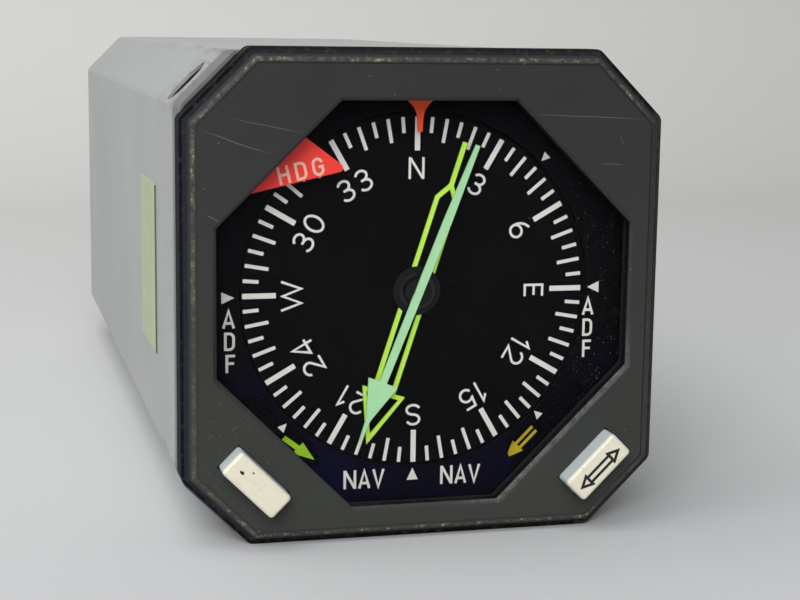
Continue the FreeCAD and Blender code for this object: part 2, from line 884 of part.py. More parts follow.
def plate_screws():
    y_head = y_front_plate + front_plate_thickness
    screws = []
    for x, z in plate_screw_places():
        screws.append(fuse([disc(screw_radius, y_front_plate - plate_screw_bite, y_head, x, z),
                            disc(head_radius, y_head, y_head + head_height, x, z)]))
    return Part.makeCompound(screws)


# Heading flag
def flag_point(right, down):
    return -opening_half + right, opening_top - down


flag_pivot = flag_point(flag_pivot_x, flag_pivot_z)
flag_tab = flag_point(flag_tab_x, flag_tab_z)


def heading_flag():
    """The pennant: its rounded tip shows in the opening, its root and tab stay behind the bezel."""
    y0, y1 = y_flag, y_flag + flag_sheet
    tip = flag_point(flag_tip_x, flag_tip_z)
    outline = [tip, flag_point(flag_upper_x, flag_upper_z), flag_point(flag_back_x, flag_back_z),
               flag_point(flag_lower_x, flag_lower_z)]
    flat = prism(outline, y0, y1)
    edge = [e for e in flat.Edges if abs(e.tangentAt(e.FirstParameter).y) > 0.999
            and abs(e.Vertexes[0].Point.x - tip[0]) < 1e-6]
    flat = flat.makeFillet(flag_tip_round, edge)
    x, z = flag_tab
    reach = flag_tab_width / 2 * DIAGONAL
    return fuse([flat, strip((x - reach, z - reach), (x + reach, z + reach), flag_tab_sheet, y1, y_lever)])


def flag_lever():
    """Lever behind the card that carries the flag's tab, with its hub and shaft."""
    y0, y1 = y_lever, y_lever + lever_sheet
    arm = strip(flag_pivot, flag_tab, flag_arm_width, y0, y1)
    eye = disc(flag_eye_radius, y0, y1, *flag_tab)
    hub = disc(flag_hub_radius, y0, y1 + flag_hub_boss, *flag_pivot)
    y2 = y_front_plate + front_plate_thickness + flag_shaft_bite
    shaft = disc(flag_shaft_radius, y1, y2, *flag_pivot)
    return fuse([arm, eye, hub, shaft])


def flag_meter():
    """Moving-magnet movement on the back of the front plate."""
    y0 = y_front_plate + front_plate_thickness
    x, z = flag_pivot
    y2 = y0 + flag_meter_length
    y1 = y2 - flag_meter_step
    body = fuse([disc(flag_meter_radius, y0, y1, x, z),
                 disc(flag_meter_radius - flag_meter_step, y1, y2, x, z)])
    return body.cut(disc(flag_shaft_radius + running_fit, y0 - 1, y0 + flag_shaft_bite + blind_margin, x, z))


# Push-buttons and source shutters, built on the +X side and turned onto their diagonal
def button(quarter):
    half_w, half_l = button_width / 2, button_length / 2
    y_top = y_face - button_proud
    cap = box(button_place - half_w, button_place + half_w, y_top, y_collar, -half_l, half_l)
    cap = rounded(cap, button_round)
    cap = cap.makeFillet(button_round * button_top_share, front_edges(cap, y_top))
    wide, long = collar_half
    collar = box(button_place - wide, button_place + wide, y_collar, y_collar + collar_sheet, -long, long)
    return at_diagonal(fuse([cap, collar]), quarter)


def plunger(quarter):
    y0 = y_collar + collar_sheet
    y1 = y_front_plate - switch_depth + plunger_entry
    return at_diagonal(disc(plunger_radius, y0, y1, button_place, 0), quarter)


def spring(quarter):
    """Conical return spring between the frame and the collar; its turns nest when it is pressed flat."""
    margin = spring_wire + spring_gap
    y0 = y_collar + collar_sheet + margin
    height = y_recess - margin - y0
    stations = []
    for i in range(spring_turns * spring_facets + 1):
        angle = 2 * math.pi * i / spring_facets
        radius = spring_small_radius + spring_step * i / spring_facets
        y = y0 + height * i / (spring_turns * spring_facets)
        section = []
        for k in range(4):
            dr, dy = place(math.pi * k / 2, spring_wire)
            x, z = place(angle, radius + dr)
            section.append(V(button_place + x, y + dy, z))
        stations.append(section)
    faces = [flat(stations[0]), flat(stations[-1][::-1])]
    for a, b in zip(stations, stations[1:]):
        for k in range(4):
            n = (k + 1) % 4
            faces += [flat([a[k], b[k], a[n]]), flat([a[n], b[k], b[n]])]
    return at_diagonal(Part.Solid(Part.Shell(faces)), quarter)


def flat(points):
    return Part.Face(Part.makePolygon(points + points[:1]))


def switch(quarter):
    y0 = y_front_plate - switch_depth
    body = box(button_place - switch_width / 2, button_place + switch_width / 2, y0, y_front_plate,
               -switch_length / 2, switch_length / 2)
    depth = plunger_entry + button_travel + blind_margin
    bore = disc(plunger_radius + running_fit, y0 - 1, y0 + depth, button_place, 0)
    return at_diagonal(body.cut(bore), quarter)


def shutter(quarter, toward):
    """Slide behind the mask; toward is the side of the diagonal where it shows at rest."""
    near = window_far + shutter_margin
    far = window_far + shutter_travel + shutter_margin
    z0, z1 = (-far, near) if toward > 0 else (-near, far)
    half = shutter_width / 2
    body = box(shutter_place - half, shutter_place + half, y_shutter, y_shutter + shutter_sheet, z0, z1)
    return at_diagonal(body, quarter)


# Rear end
rail_inner = inner_half - cover_wall - rail_gap - rail_depth
board_half = rail_inner + board_bite


def board_rails():
    rails = []
    x0, x1 = rail_inner, rail_inner + rail_depth
    for side in (-1, 1):
        rail = box(min(side * x0, side * x1), max(side * x0, side * x1), y_boards, y_cover,
                   -rail_height / 2, rail_height / 2)
        bite = side * (board_half + plate_clearance)
        half = board_thickness / 2 + plate_clearance
        for z in (-board_half_gap, board_half_gap):
            groove = box(min(0, bite), max(0, bite), y_boards - 1, y_cover + 1, z - half, z + half)
            rail = rail.cut(groove)
        rails.append(rail)
    return Part.makeCompound(rails)


def board(z, blocks):
    """A printed board with its larger parts, which stand on its inner face."""
    half = board_half
    low, high = z - board_thickness / 2, z + board_thickness / 2
    y0, y1 = y_boards + board_inset, y_cover - board_inset
    solids = [box(-half, half, y0, y1, low, high)]
    for x, y, wide, long, tall in blocks:
        base = (low - tall, low) if z > 0 else (high, high + tall)
        solids.append(box(x - wide / 2, x + wide / 2, y0 + y - long / 2, y0 + y + long / 2, *base))
    return Part.makeCompound(solids)


def upper_board():
    middle = (chip_columns - 1) / 2
    chips = [((i - middle) * chip_pitch_x, chip_front + j * chip_pitch_y, chip_width, chip_length, chip_height)
             for i in range(chip_columns) for j in range(chip_rows)]
    return board(board_half_gap, chips)


def lower_board():
    blocks = [(-can_side, can_front + i * can_pitch, can_width, can_length, can_height)
              for i in range(can_count)]
    blocks.append((relay_side, relay_front, relay_width, relay_length, relay_height))
    return Part.makeCompound([board(-board_half_gap, blocks), power_transformer()])


def power_transformer():
    """Laminated core with a wound bobbin, on the lower board."""
    z0 = -board_half_gap + board_thickness / 2
    y0 = y_boards + core_stack
    x0 = core_shift
    half, limb = core_width / 2, core_limb
    window_half = half - limb
    core = box(x0 - half, x0 + half, y0, y0 + core_stack, z0, z0 + core_height)
    inside = (x0 - window_half, x0 + window_half)
    levels = (z0 + limb, z0 + core_height - limb)
    core = core.cut(box(*inside, y0 - 1, y0 + core_stack + 1, *levels))
    coil = box(*inside, y0 - winding_overhang, y0 + core_stack + winding_overhang, *levels)
    return Part.makeCompound([core, rounded_block(coil, winding_round)])


def rounded_block(solid, radius):
    edges = [e for e in solid.Edges if abs(e.tangentAt(e.FirstParameter).x) > 0.999]
    return solid.makeFillet(radius, edges)


def rear_cover():
    """Dished rear cover: its rim takes the sleeve screws, its face the connector."""
    half, corner = inner_half - plate_clearance, inner_corner - CORNER * plate_clearance
    body = square(half, corner, y_cover - cover_rim, housing_length, corner_round - sheet / 2)
    dish = square(half - cover_wall, corner - CORNER * cover_wall, y_cover - cover_rim - 1, y_cover)
    body = body.cut(dish)
    body = body.cut(disc(connector_radius - connector_wall, y_cover - 1, housing_length + 1))
    for x, z in connector_screw_places():
        body = body.cut(disc(screw_radius, y_cover - 1, housing_length + 1, x, z))
    for x, z in cover_screw_places():
        body = body.cut(cover_screw(x, z, screw_fit))
    return body


def cover_screw_places():
    side = housing_half
    return [(sx * side, sz * cover_screw_height) for sx in (-1, 1) for sz in (-1, 1)]


def cover_screw(x, z, fit=0.0):
    """Countersunk screw through the sleeve into the cover's rim, head flush with the sleeve."""
    inward = V(-1 if x > 0 else 1, 0, 0)
    start = V(x, y_cover - cover_rim / 2, z)
    head = Part.makeCone(head_radius + fit, screw_radius + fit, sheet * countersink_share, start, inward)
    shank = Part.makeCylinder(screw_radius + fit, sheet + cover_wall + plate_clearance, start, inward)
    return head.fuse(shank)


def rear_screws():
    """Four screws through the sleeve's sides and four through the connector's flange."""
    screws = [cover_screw(x, z).removeSplitter() for x, z in cover_screw_places()]
    y0 = housing_length + connector_flange_sheet
    for x, z in connector_screw_places():
        screws.append(fuse([disc(screw_radius, y_cover, y0, x, z),
                            disc(head_radius, y0, y0 + head_height, x, z)]))
    return Part.makeCompound(screws)


def connector_screw_places():
    place_at = connector_flange / 2 - connector_screw_inset
    return [(sx * place_at, sz * place_at) for sx in (-1, 1) for sz in (-1, 1)]


def rear_connector():
    """Square-flanged round shell."""
    y0 = housing_length
    half = connector_flange / 2
    body = rounded(box(-half, half, y0, y0 + connector_flange_sheet, -half, half), connector_round)
    body = fuse([body, disc(connector_radius, y0, y0 + connector_length)])
    body = body.cut(disc(connector_radius - connector_wall, y0 - 1, y0 + connector_length + 1))
    for x, z in connector_screw_places():
        body = body.cut(disc(screw_radius + screw_fit, y0 - 1, y0 + connector_flange_sheet + 1, x, z))
    return body


def connector_insert():
    return disc(connector_radius - connector_wall, y_cover, housing_length + insert_height)


def connector_pins():
    """Contacts in three rings round a central one."""
    y0, y1 = housing_length + insert_height, housing_length + pin_height
    pins = [disc(pin_radius, y0, y1)]
    for row in range(1, pin_rings + 1):
        count = pin_ring_step * row - (outer_ring_gaps if row == pin_rings else 0)
        for i in range(count):
            x, z = place(2 * math.pi * i / count, row * pin_pitch)
            pins.append(disc(pin_radius, y0, y1, x, z))
    return Part.makeCompound(pins)


nodes = {
    "front_bezel": front_bezel(),
    "bezel_frame": bezel_frame(),
    "bezel_screws": bezel_screws(),
    "window_glass": window_glass(),
    "window_gasket": window_gasket(),
    "dial_mask": dial_mask(),
    "mask_posts": mask_posts(),
    "dial_lamps": dial_lamps(),
    "lubber_pointer": lubber_pointer(),
    "compass_card": compass_card(),
    "card_tube": card_tube(),
    "card_gear": wheel(card_tube_radius, 0.0, y_card_gear),
    "card_bearing": bearing(card_tube_radius + running_fit, card_race, y_front_plate, front_plate_thickness),
    "double_pointer": double_pointer(),
    "double_shaft": double_shaft(),
    "double_gear": wheel(double_shaft_radius, 0.0, y_double_gear),
    "double_bearing": bearing(double_shaft_radius + running_fit, double_race, y_middle_plate,
                              middle_plate_thickness),
    "single_pointer": single_pointer(),
    "single_shaft": single_shaft(),
    "single_gear": wheel(single_shaft_radius, 0.0, y_single_gear),
    "single_bearing": bearing(single_shaft_radius + running_fit, single_race, y_motor_plate,
                              motor_plate_thickness),
    "front_plate": front_plate(),
    "plate_screws": plate_screws(),
    "middle_plate": middle_plate(),
    "motor_plate": motor_plate(),
    "rear_plate": rear_plate(),
    "plate_pillars": plate_pillars(),
    "heading_flag": heading_flag(),
    "flag_lever": flag_lever(),
    "flag_meter": flag_meter(),
    "board_rails": board_rails(),
    "upper_board": upper_board(),
    "lower_board": lower_board(),
    "rear_cover": rear_cover(),
    "rear_connector": rear_connector(),
    "connector_insert": connector_insert(),
    "connector_pins": connector_pins(),
    "housing_sleeve": housing_sleeve(),
    "rear_screws": rear_screws(),
    "data_plate": data_plate(),
}
for name in trains:
    nodes[name + "_motor"] = motor(name)
    nodes[name + "_pinion"] = motor_pinion(name)
    nodes[name + "_synchro"] = synchro(name)
    nodes[name + "_synchro_gear"] = synchro_gear(name)
for name, quarter in button_quarters.items():
    nodes[name + "_button"] = fuse([button(quarter), plunger(quarter)])
    nodes[name + "_spring"] = spring(quarter)
    nodes[name + "_switch"] = switch(quarter)
    nodes[name + "_shutter"] = shutter(quarter, 1 if name == "left" else -1)

os.makedirs("parts", exist_ok=True)
for name, shape in nodes.items():
    shape.exportStep("parts/" + name + ".step")
print(len(nodes), "nodes")
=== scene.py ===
# %% [markdown]
# # A radio magnetic indicator
# A three-inch cockpit instrument: a black compass card turns behind a glass, two bearing
# pointers turn over it, and a red flag covers the dial's corner when the heading isn't valid.
# The solids come from the CAD model. Everything printed, painted or worn is made here.

# %% Load the frame
import math

import bmesh
import bpy
from mathutils import Matrix, Vector


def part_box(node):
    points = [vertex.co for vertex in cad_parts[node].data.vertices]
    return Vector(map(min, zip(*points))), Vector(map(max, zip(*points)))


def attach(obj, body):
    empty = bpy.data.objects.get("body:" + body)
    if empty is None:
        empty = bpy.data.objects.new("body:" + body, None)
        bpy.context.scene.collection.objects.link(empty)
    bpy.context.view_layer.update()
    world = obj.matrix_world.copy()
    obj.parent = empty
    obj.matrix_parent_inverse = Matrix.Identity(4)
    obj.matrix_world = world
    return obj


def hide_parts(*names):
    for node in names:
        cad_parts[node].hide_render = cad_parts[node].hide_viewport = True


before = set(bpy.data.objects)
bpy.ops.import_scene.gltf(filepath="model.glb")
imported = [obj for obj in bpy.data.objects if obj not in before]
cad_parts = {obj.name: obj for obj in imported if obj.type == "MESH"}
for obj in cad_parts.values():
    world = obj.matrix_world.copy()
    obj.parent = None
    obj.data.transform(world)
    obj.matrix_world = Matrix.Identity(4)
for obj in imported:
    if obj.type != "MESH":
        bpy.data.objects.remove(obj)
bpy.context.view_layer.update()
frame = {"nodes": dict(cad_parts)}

MM = 0.001
nodes = frame["nodes"]

# %% [markdown]
# ## Formulas in a material
# A material is a tree of nodes, and a long formula is hard to read as a tree. `Field` wraps one
# output socket and gives it Python's own operators, so that a pattern is written as a formula
# and the Math nodes appear by themselves.


# %% Field, a number that varies over a surface
class Field:
    def __init__(self, look, socket):
        self.look = look
        self.socket = socket

    def math(self, operation, *others):
        return self.look.node("ShaderNodeMath", {"operation": operation}, self, *others)

    def __add__(self, other):
        return self.math("ADD", other)

    __radd__ = __add__

    def __mul__(self, other):
        return self.math("MULTIPLY", other)

    __rmul__ = __mul__

    def __sub__(self, other):
        return self.math("SUBTRACT", other)

    def __rsub__(self, other):
        return -self + other

    def __neg__(self):
        return self * -1.0

    def __abs__(self):
        return self.math("ABSOLUTE")

    def __pow__(self, other):
        return self.math("POWER", other)

    def low(self, other):
        return self.math("MINIMUM", other)

    def high(self, other):
        return self.math("MAXIMUM", other)

    def ramp(self, start, end):
        """0 at start, 1 at end, straight between them and held beyond them."""
        spread = {"interpolation_type": "LINEAR", "clamp": True}
        return self.look.node("ShaderNodeMapRange", spread, self, start, end, 0.0, 1.0)


# %% [markdown]
# ## A look is a material with a place to write it
# `Look` starts a material with one Principled shader. Its `node` method makes any other node
# from its type, its settings and its inputs, in the order in which Blender lists them. `x`, `y`
# and `z` are the place on the object in millimetres, the same numbers as in the CAD model.


# %% Look, one material
OBJECT_OUTPUT = 3


class Look:
    def __init__(self, name, **fixed):
        self.material = bpy.data.materials.new(name)
        self.material.use_nodes = True
        self.tree = self.material.node_tree
        self.shader = self.tree.nodes["Principled BSDF"]
        self.spot = None
        for socket, value in fixed.items():
            self.shader.inputs[socket.replace("_", " ")].default_value = value

    def node(self, kind, settings, *inputs, output=0):
        made = self.tree.nodes.new(kind)
        for key, value in settings.items():
            setattr(made, key, value)
        for slot, value in zip([s for s in made.inputs if s.enabled], inputs):
            self.feed(slot, value)
        return Field(self, [s for s in made.outputs if s.enabled][output])

    def feed(self, slot, value):
        if isinstance(value, Field):
            self.tree.links.new(value.socket, slot)
        elif value is not None:
            slot.default_value = value

    def place(self):
        """Object coordinates in millimetres."""
        if self.spot is None:
            metres = self.node("ShaderNodeTexCoord", {}, output=OBJECT_OUTPUT)
            self.spot = self.node("ShaderNodeVectorMath", {"operation": "SCALE"}, metres, 1 / MM)
        return self.spot

    def axis(self, index):
        return self.node("ShaderNodeSeparateXYZ", {}, self.place(), output=index)

    def noise(self, scale, detail=2.0, rough=0.5, stretch=None):
        """Cloudy noise around 0.5; scale is in waves per millimetre."""
        where = self.place()
        if stretch:
            where = self.node("ShaderNodeVectorMath", {"operation": "MULTIPLY"}, where, stretch)
        return self.node("ShaderNodeTexNoise", {}, where, scale, detail, rough)

    def specks(self, scale, size, share=0.5):
        """Small round specks; scale is in cells per millimetre, share is how many cells have one."""
        cells = self.node("ShaderNodeTexVoronoi", {}, self.place(), scale)
        made = cells.socket.node
        pick = self.node("ShaderNodeSeparateColor", {}, Field(self, made.outputs["Color"]))
        chosen = pick.ramp(share, share - 0.02)
        return Field(self, made.outputs["Distance"]).ramp(size, size * 0.5) * chosen

    def blend(self, mask, under, over):
        """Colour under where mask is 0 and over where it is 1."""
        return self.node("ShaderNodeMix", {"data_type": "RGBA"}, mask, under, over)

    def paint(self, socket, value):
        self.feed(self.shader.inputs[socket], value)
        return self

    def bump(self, height, depth):
        """Relief, with depth in millimetres."""
        made = self.tree.nodes.new("ShaderNodeBump")
        made.inputs["Strength"].default_value = 1.0
        made.inputs["Distance"].default_value = depth * MM
        self.feed(made.inputs["Height"], height)
        self.tree.links.new(made.outputs["Normal"], self.shader.inputs["Normal"])
        return self


def colour(red, green, blue):
    """A colour given on a 0 to 255 screen scale, as the linear values that Blender uses."""
    values = []
    for part in (red, green, blue):
        c = part / 255
        values.append(c / 12.92 if c <= 0.04045 else ((c + 0.055) / 1.055) ** 2.4)
    return (*values, 1.0)


def wear(look, material_slot, *names):
    for name in names:
        mesh = nodes[name].data
        mesh.materials.clear()
        mesh.materials.append(look.material)


# %% [markdown]
# ## Round edges shade smoothly
# The CAD solids arrive as loose triangles, so a rounded edge shows its facets. For the outer
# pieces a copy is merged and shaded smooth, with every edge sharper than 30 degrees kept sharp.
# Weighted normals let each large flat face keep its own direction, so that only the narrow
# facets of a rounding share the turn.

# %% Smooth copies
MERGE_DISTANCE = 0.002 * MM
FLAT_ANGLE, SHARP_ANGLE = math.radians(0.3), math.radians(30)


def add_object(name, data):
    made = bpy.data.objects.new(name, data)
    bpy.context.scene.collection.objects.link(made)
    return made


def evaluated(made):
    """The object's mesh with its modifiers worked in."""
    graph = bpy.context.evaluated_depsgraph_get()
    mesh = bpy.data.meshes.new_from_object(made.evaluated_get(graph))
    made.modifiers.clear()
    made.data = mesh


def smoothed(name, body):
    """A merged and smoothly shaded copy, which takes the place of the CAD node."""
    merged = bmesh.new()
    merged.from_mesh(nodes[name].data)
    bmesh.ops.remove_doubles(merged, verts=merged.verts, dist=MERGE_DISTANCE)
    bmesh.ops.dissolve_limit(merged, angle_limit=FLAT_ANGLE, verts=merged.verts, edges=merged.edges)
    mesh = bpy.data.meshes.new(name + "_smooth")
    merged.to_mesh(mesh)
    merged.free()
    mesh.shade_smooth()
    mesh.set_sharp_from_angle(angle=SHARP_ANGLE)
    made = add_object(name + "_smooth", mesh)
    weighted = made.modifiers.new("weighted", "WEIGHTED_NORMAL")
    weighted.keep_sharp, weighted.weight = True, 100
    evaluated(made)
    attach(made, body)
    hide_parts(name)
    nodes[name] = made


for name in ("front_bezel", "bezel_frame", "housing_sleeve", "rear_cover", "rear_connector",
             "connector_insert", "rear_screws", "window_glass"):
    smoothed(name, "instrument")
for name in ("left_button", "right_button"):
    smoothed(name, name)
print("smooth copies made")

# %% [markdown]
# ## Distance from the bezel's edges
# Paint wears first at corners. The bezel's outline is a square with cut corners, so the distance
# from its edge is the smallest of three plain formulas: to the side, to the top or bottom, and
# to the cut corner. The same formula, measured from the opening, gives the worn inner lip.
# What a node's box can tell is read from it; the other sizes are the CAD model's, in millimetres.

# %% Sizes shared with the CAD model
lo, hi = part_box("front_bezel")
front_half, face_y = hi.x / MM, lo.y / MM
flange_half, flange_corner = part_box("bezel_frame")[1].x / MM, 11.5
front_setback = 1.1
front_corner = flange_corner - (2 - math.sqrt(2)) * front_setback
side_bar, top_bar, bottom_bar = 4.68, 7.5, 4.85
opening_half = front_half - side_bar
opening_top = front_half - top_bar
opening_bottom = front_half - bottom_bar
upper_corner, lower_corner = 20.67, 22.82
housing_half, housing_corner = 40.6, 8.9
card_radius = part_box("compass_card")[1].x / MM
card_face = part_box("compass_card")[0].y / MM
mask_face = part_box("dial_mask")[0].y / MM
diagonal = math.sqrt(0.5)
PRINT_LIFT = 0.02
print(f"bezel {2 * flange_half:.1f} mm wide, card radius {card_radius:.1f} mm")


def edge_distance(look, half, corner):
    """How far inside the outline of a square with cut corners a point lies."""
    x, z = abs(look.axis(0)), abs(look.axis(2))
    side = (half - x).low(half - z)
    cut = (2 * half - corner - (x + z)) * diagonal
    return side.low(cut)


def opening_distance(look):
    """How far outside the opening's outline a point of the bezel lies."""
    x, z = look.axis(0), look.axis(2)
    wide = abs(x) - opening_half
    tall = (z - opening_top).high(-z - opening_bottom)
    upper = (abs(x) + z - (opening_half + opening_top - upper_corner)) * diagonal
    lower = (abs(x) - z - (opening_half + opening_bottom - lower_corner)) * diagonal
    return wide.high(tall).high(upper).high(lower)


# %% [markdown]
# ## Bezel paint
# The bezel is painted a semi-matt dark grey, with painted light that makes it a little lighter towards
# the bottom. Years of handling have rubbed its front edge to a brown-grey primer, left dust in the
# lower left and drawn a few fine scratches. Painted shade darkens the groove along its outer edge and
# a thin line where the face steps to the worn band; dust and a painted highlight lighten the lower
# right lip, and the opening's inner wall is made near-black. On the flange, a bluish painted shade
# fills the groove on the left. Each is a mask between 0 and 1 that blends one more colour over the paint.

# %% Bezel looks
SCRATCHES = [(-38.5, 28.0, -26.5, 24.1, 0.11), (-34, 30.1, -20.5, 27.4, 0.08),
             (-37.6, 14.6, -34.5, 13.2, 0.09), (16.5, 30.6, 38.5, 29.6, 0.09),
             (29.5, 22.3, 34.5, 22.0, 0.08), (33, 27.3, 34, 24.8, 0.06)]


def scratch(look, x0, z0, x1, z1, width):
    """A straight scratch between two points of the face, fading towards its ends."""
    length = math.hypot(x1 - x0, z1 - z0)
    ux, uz = (x1 - x0) / length, (z1 - z0) / length
    x, z = look.axis(0) - x0, look.axis(2) - z0
    along = x * ux + z * uz
    across = abs(x * uz - z * ux + (look.noise(0.12) - 0.5) * 0.8)
    ends = along.ramp(0, length * 0.3) * along.ramp(length, length * 0.7)
    return across.ramp(width, width * 0.4) * ends


def bezel_base(name):
    """The grey paint, faintly clouded, with painted light that makes it a little lighter towards the bottom.
    """
    look = Look(name, Roughness=0.6, Specular_IOR_Level=0.2)
    base = look.blend(look.axis(2).ramp(34, -34), colour(43, 44, 43), colour(55, 57, 54))
    cloud = look.noise(0.06, 3.0, 0.6).ramp(0.35, 0.75)
    return look, look.blend(cloud * 0.25, base, colour(58, 58, 54))


look, base = bezel_base("bezel paint")
x, z = look.axis(0), look.axis(2)
edge = edge_distance(look, front_half, front_corner)
mottle = look.noise(0.9, 6.0, 0.7)
patches = look.noise(0.11, 3.0, 0.5).ramp(0.36, 0.56)
rim = edge.ramp(0.4, 0.65) * edge.ramp(1.25, 1.0)
# Painted shade: the outer half millimetre of the face, where it turns into the groove before the flange, is
# darkened to a bluish grey.
base = look.blend(edge.ramp(0.5, 0.2) * 0.7, base, colour(36, 38, 43))
less_right = x.ramp(39.5, 36) * 0.9 + 0.1
low_rim = z.ramp(-30, -38)
sides = 1 - abs(x).ramp(30, 37) * 0.45
base = look.blend(rim * (patches * 0.6 + 0.35) * mottle.ramp(0.40, 0.58) * 0.85 * less_right, base,
                  colour(98, 91, 78))
base = look.blend(rim * patches.high(low_rim * 0.8) * mottle.ramp(0.56, 0.66) * less_right * sides, base,
                  colour(166, 160, 138))
base = look.blend((x - 39.6).ramp(0.2, 0.5) * mottle.ramp(0.35, 0.6) * 0.6, base, colour(104, 92, 80))
# Painted shadow: a thin dark line where the face steps to the worn band, stronger along the top and the
# right.
step_shadow_line = abs(edge - 1.45).ramp(0.17, 0.07) * (z.ramp(28, 34).high(x.ramp(34, 37)) * 0.5 + 0.35)
base = look.blend(step_shadow_line, base, colour(22, 22, 22))
lip = opening_distance(look)
# Dust and a painted highlight: a patchy light grey along the opening's lower right lip.
lip_dust_and_highlight = lip.ramp(0.9, 0.2) * (x - z).ramp(40, 50) * mottle.ramp(0.36, 0.6)
base = look.blend(lip_dust_and_highlight * 0.5, base, colour(130, 131, 130))
base = look.blend(lip.ramp(0.03, 0.01), base, colour(9, 9, 10))
corner_dust = (-x - 16).ramp(0, 10) * (-z - 14).ramp(0, 6)
base = look.blend(look.specks(1.5, 0.24, 0.4) * corner_dust * 0.3, base, colour(120, 117, 106))
base = look.blend(look.specks(0.45, 0.10, 0.3) * 0.35, base, colour(120, 118, 110))
for line in SCRATCHES:
    base = look.blend(scratch(look, *line) * 0.5, base, colour(110, 110, 106))
grain = look.noise(1.6, 4.0, 0.6)
look.paint("Base Color", base)
look.paint("Roughness", grain * 0.15 + 0.5)
look.bump(grain, 0.02)
bezel_look = look

look, base = bezel_base("flange paint")
look.shader.inputs["Specular IOR Level"].default_value = 0.02
edge = edge_distance(look, flange_half, flange_corner)
mottle = look.noise(0.8, 6.0, 0.7)
depth = look.axis(1)
base = look.blend(mottle.ramp(0.3, 0.7), colour(14, 15, 16), colour(23, 24, 24))
# Painted shade: on the left, the flange's front part is tinted navy where the groove before the front plate
# lies in shade.
left_groove_shade = (-look.axis(0)).ramp(34, 38)
base = look.blend(depth.ramp(-3.0, -3.5) * left_groove_shade * 0.9, base, colour(19, 22, 34))
top_light = look.axis(2).ramp(38, 41)
base = look.blend(depth.ramp(-1.5, -2.2) * top_light * 0.8, base, colour(36, 37, 35))
rubbed = look.axis(0).ramp(39.5, 40.5).high((look.axis(0) - look.axis(2)).ramp(68.5, 69.5))
base = look.blend(depth.ramp(-2.0, -3.0) * rubbed * 0.9, base, colour(54, 51, 46))
base = look.blend(look.specks(0.8, 0.10, 0.25) * 0.8, base, colour(120, 122, 124))
ledge = depth.ramp(-4.8, -4.95)
base = look.blend(ledge * edge.ramp(0.45, 0.7), base, colour(44, 46, 49))
base = look.blend(ledge * mottle.ramp(0.52, 0.66) * 0.4, base, colour(88, 84, 74))
base = look.blend(opening_distance(look).ramp(2.6, 2.2), base, colour(7, 7, 8))
look.paint("Base Color", base)
look.paint("Roughness", mottle * 0.2 + 0.45)
look.bump(mottle, 0.03)
flange_look = look

wear(bezel_look, "bezel_paint", "front_bezel")
wear(flange_look, "frame_paint", "bezel_frame")

# %% [markdown]
# ## Housing
# The long sleeve is folded sheet in light grey paint, scuffed along its front end and corner
# folds. The rear cover has the same paint. Scuffs are long noise, stretched along the sleeve.
# The cut corner faces are a little darker as painted shade, and a band right behind the flange
# darker still, a painted contact shadow. The grey is on the sheet's outer face only: what lies
# further in is painted dark as painted shade, up to the rear cover.

# %% Housing looks
fold = housing_half - housing_corner
look = Look("housing paint", Roughness=0.5)
cloud = look.noise(0.03, 4.0, 0.6)
streak = look.noise(0.5, 5.0, 0.65, (0.25, 0.25, 1.0))
front_end = look.axis(1).ramp(38, 2)
base = look.blend(cloud.ramp(0.3, 0.7), colour(159, 161, 161), colour(172, 174, 173))
base = look.blend(streak.ramp(0.56, 0.74) * (front_end * 0.6 + 0.2) * 0.5, base, colour(118, 118, 112))
x, z = look.axis(0), look.axis(2)
cut_face = (abs(x) + abs(z)).ramp(72.0, 72.25)
smear = look.noise(0.30, 5.0, 0.65, (1.0, 0.35, 1.0))
long_smear = look.noise(0.9, 6.0, 0.7, (1.0, 0.12, 1.0))
crease = abs(abs(z) - fold).ramp(2.6, 0.0)
base = look.blend(crease * smear.ramp(0.44, 0.58) * front_end * 0.9, base, colour(82, 82, 78))
base = look.blend(cut_face * long_smear.ramp(0.50, 0.58) * front_end * 0.8, base, colour(98, 98, 92))
top_fold = abs(abs(x) - fold).ramp(1.6, 0.0) * z.ramp(39, 40) * look.axis(1).ramp(120, 10)
base = look.blend(top_fold * smear.ramp(0.44, 0.56) * 0.8, base, colour(92, 92, 86))
base = look.blend(crease * smear.ramp(0.38, 0.30) * 0.5, base, colour(200, 201, 200))
# Painted shade: the cut corner faces are a little darker all over.
base = look.blend(cut_face * 0.3, base, colour(132, 133, 132))
base = look.blend(look.specks(0.35, 0.10, 0.4) * 0.7, base, colour(70, 70, 66))
# Painted contact shadow: a dark band along the sleeve's first ten millimetres, right behind the flange.
base = look.blend(look.axis(1).ramp(10.5, 8.5) * 0.8, base, colour(84, 86, 86))
# Painted shade: inside the sheet, up to the rear cover, everything is near-black.
inside = edge_distance(look, housing_half, housing_corner).ramp(0.5, 0.6) * look.axis(1).ramp(199, 198)
base = look.blend(inside, base, colour(26, 26, 25))
look.paint("Base Color", base)
look.paint("Roughness", cloud * 0.2 + 0.4)
look.bump(look.noise(0.8, 3.0), 0.03)
wear(look, "housing_grey", "housing_sleeve", "rear_cover")

# %% [markdown]
# ## Two flat pieces drawn again
# Seen beside the photograph, the label is shorter than the CAD plate, and the orange index sweeps
# in from its tab sooner, to a more slender finger. Both are flat, so each is drawn as an outline
# pushed through its thickness, and takes the place of its CAD node.


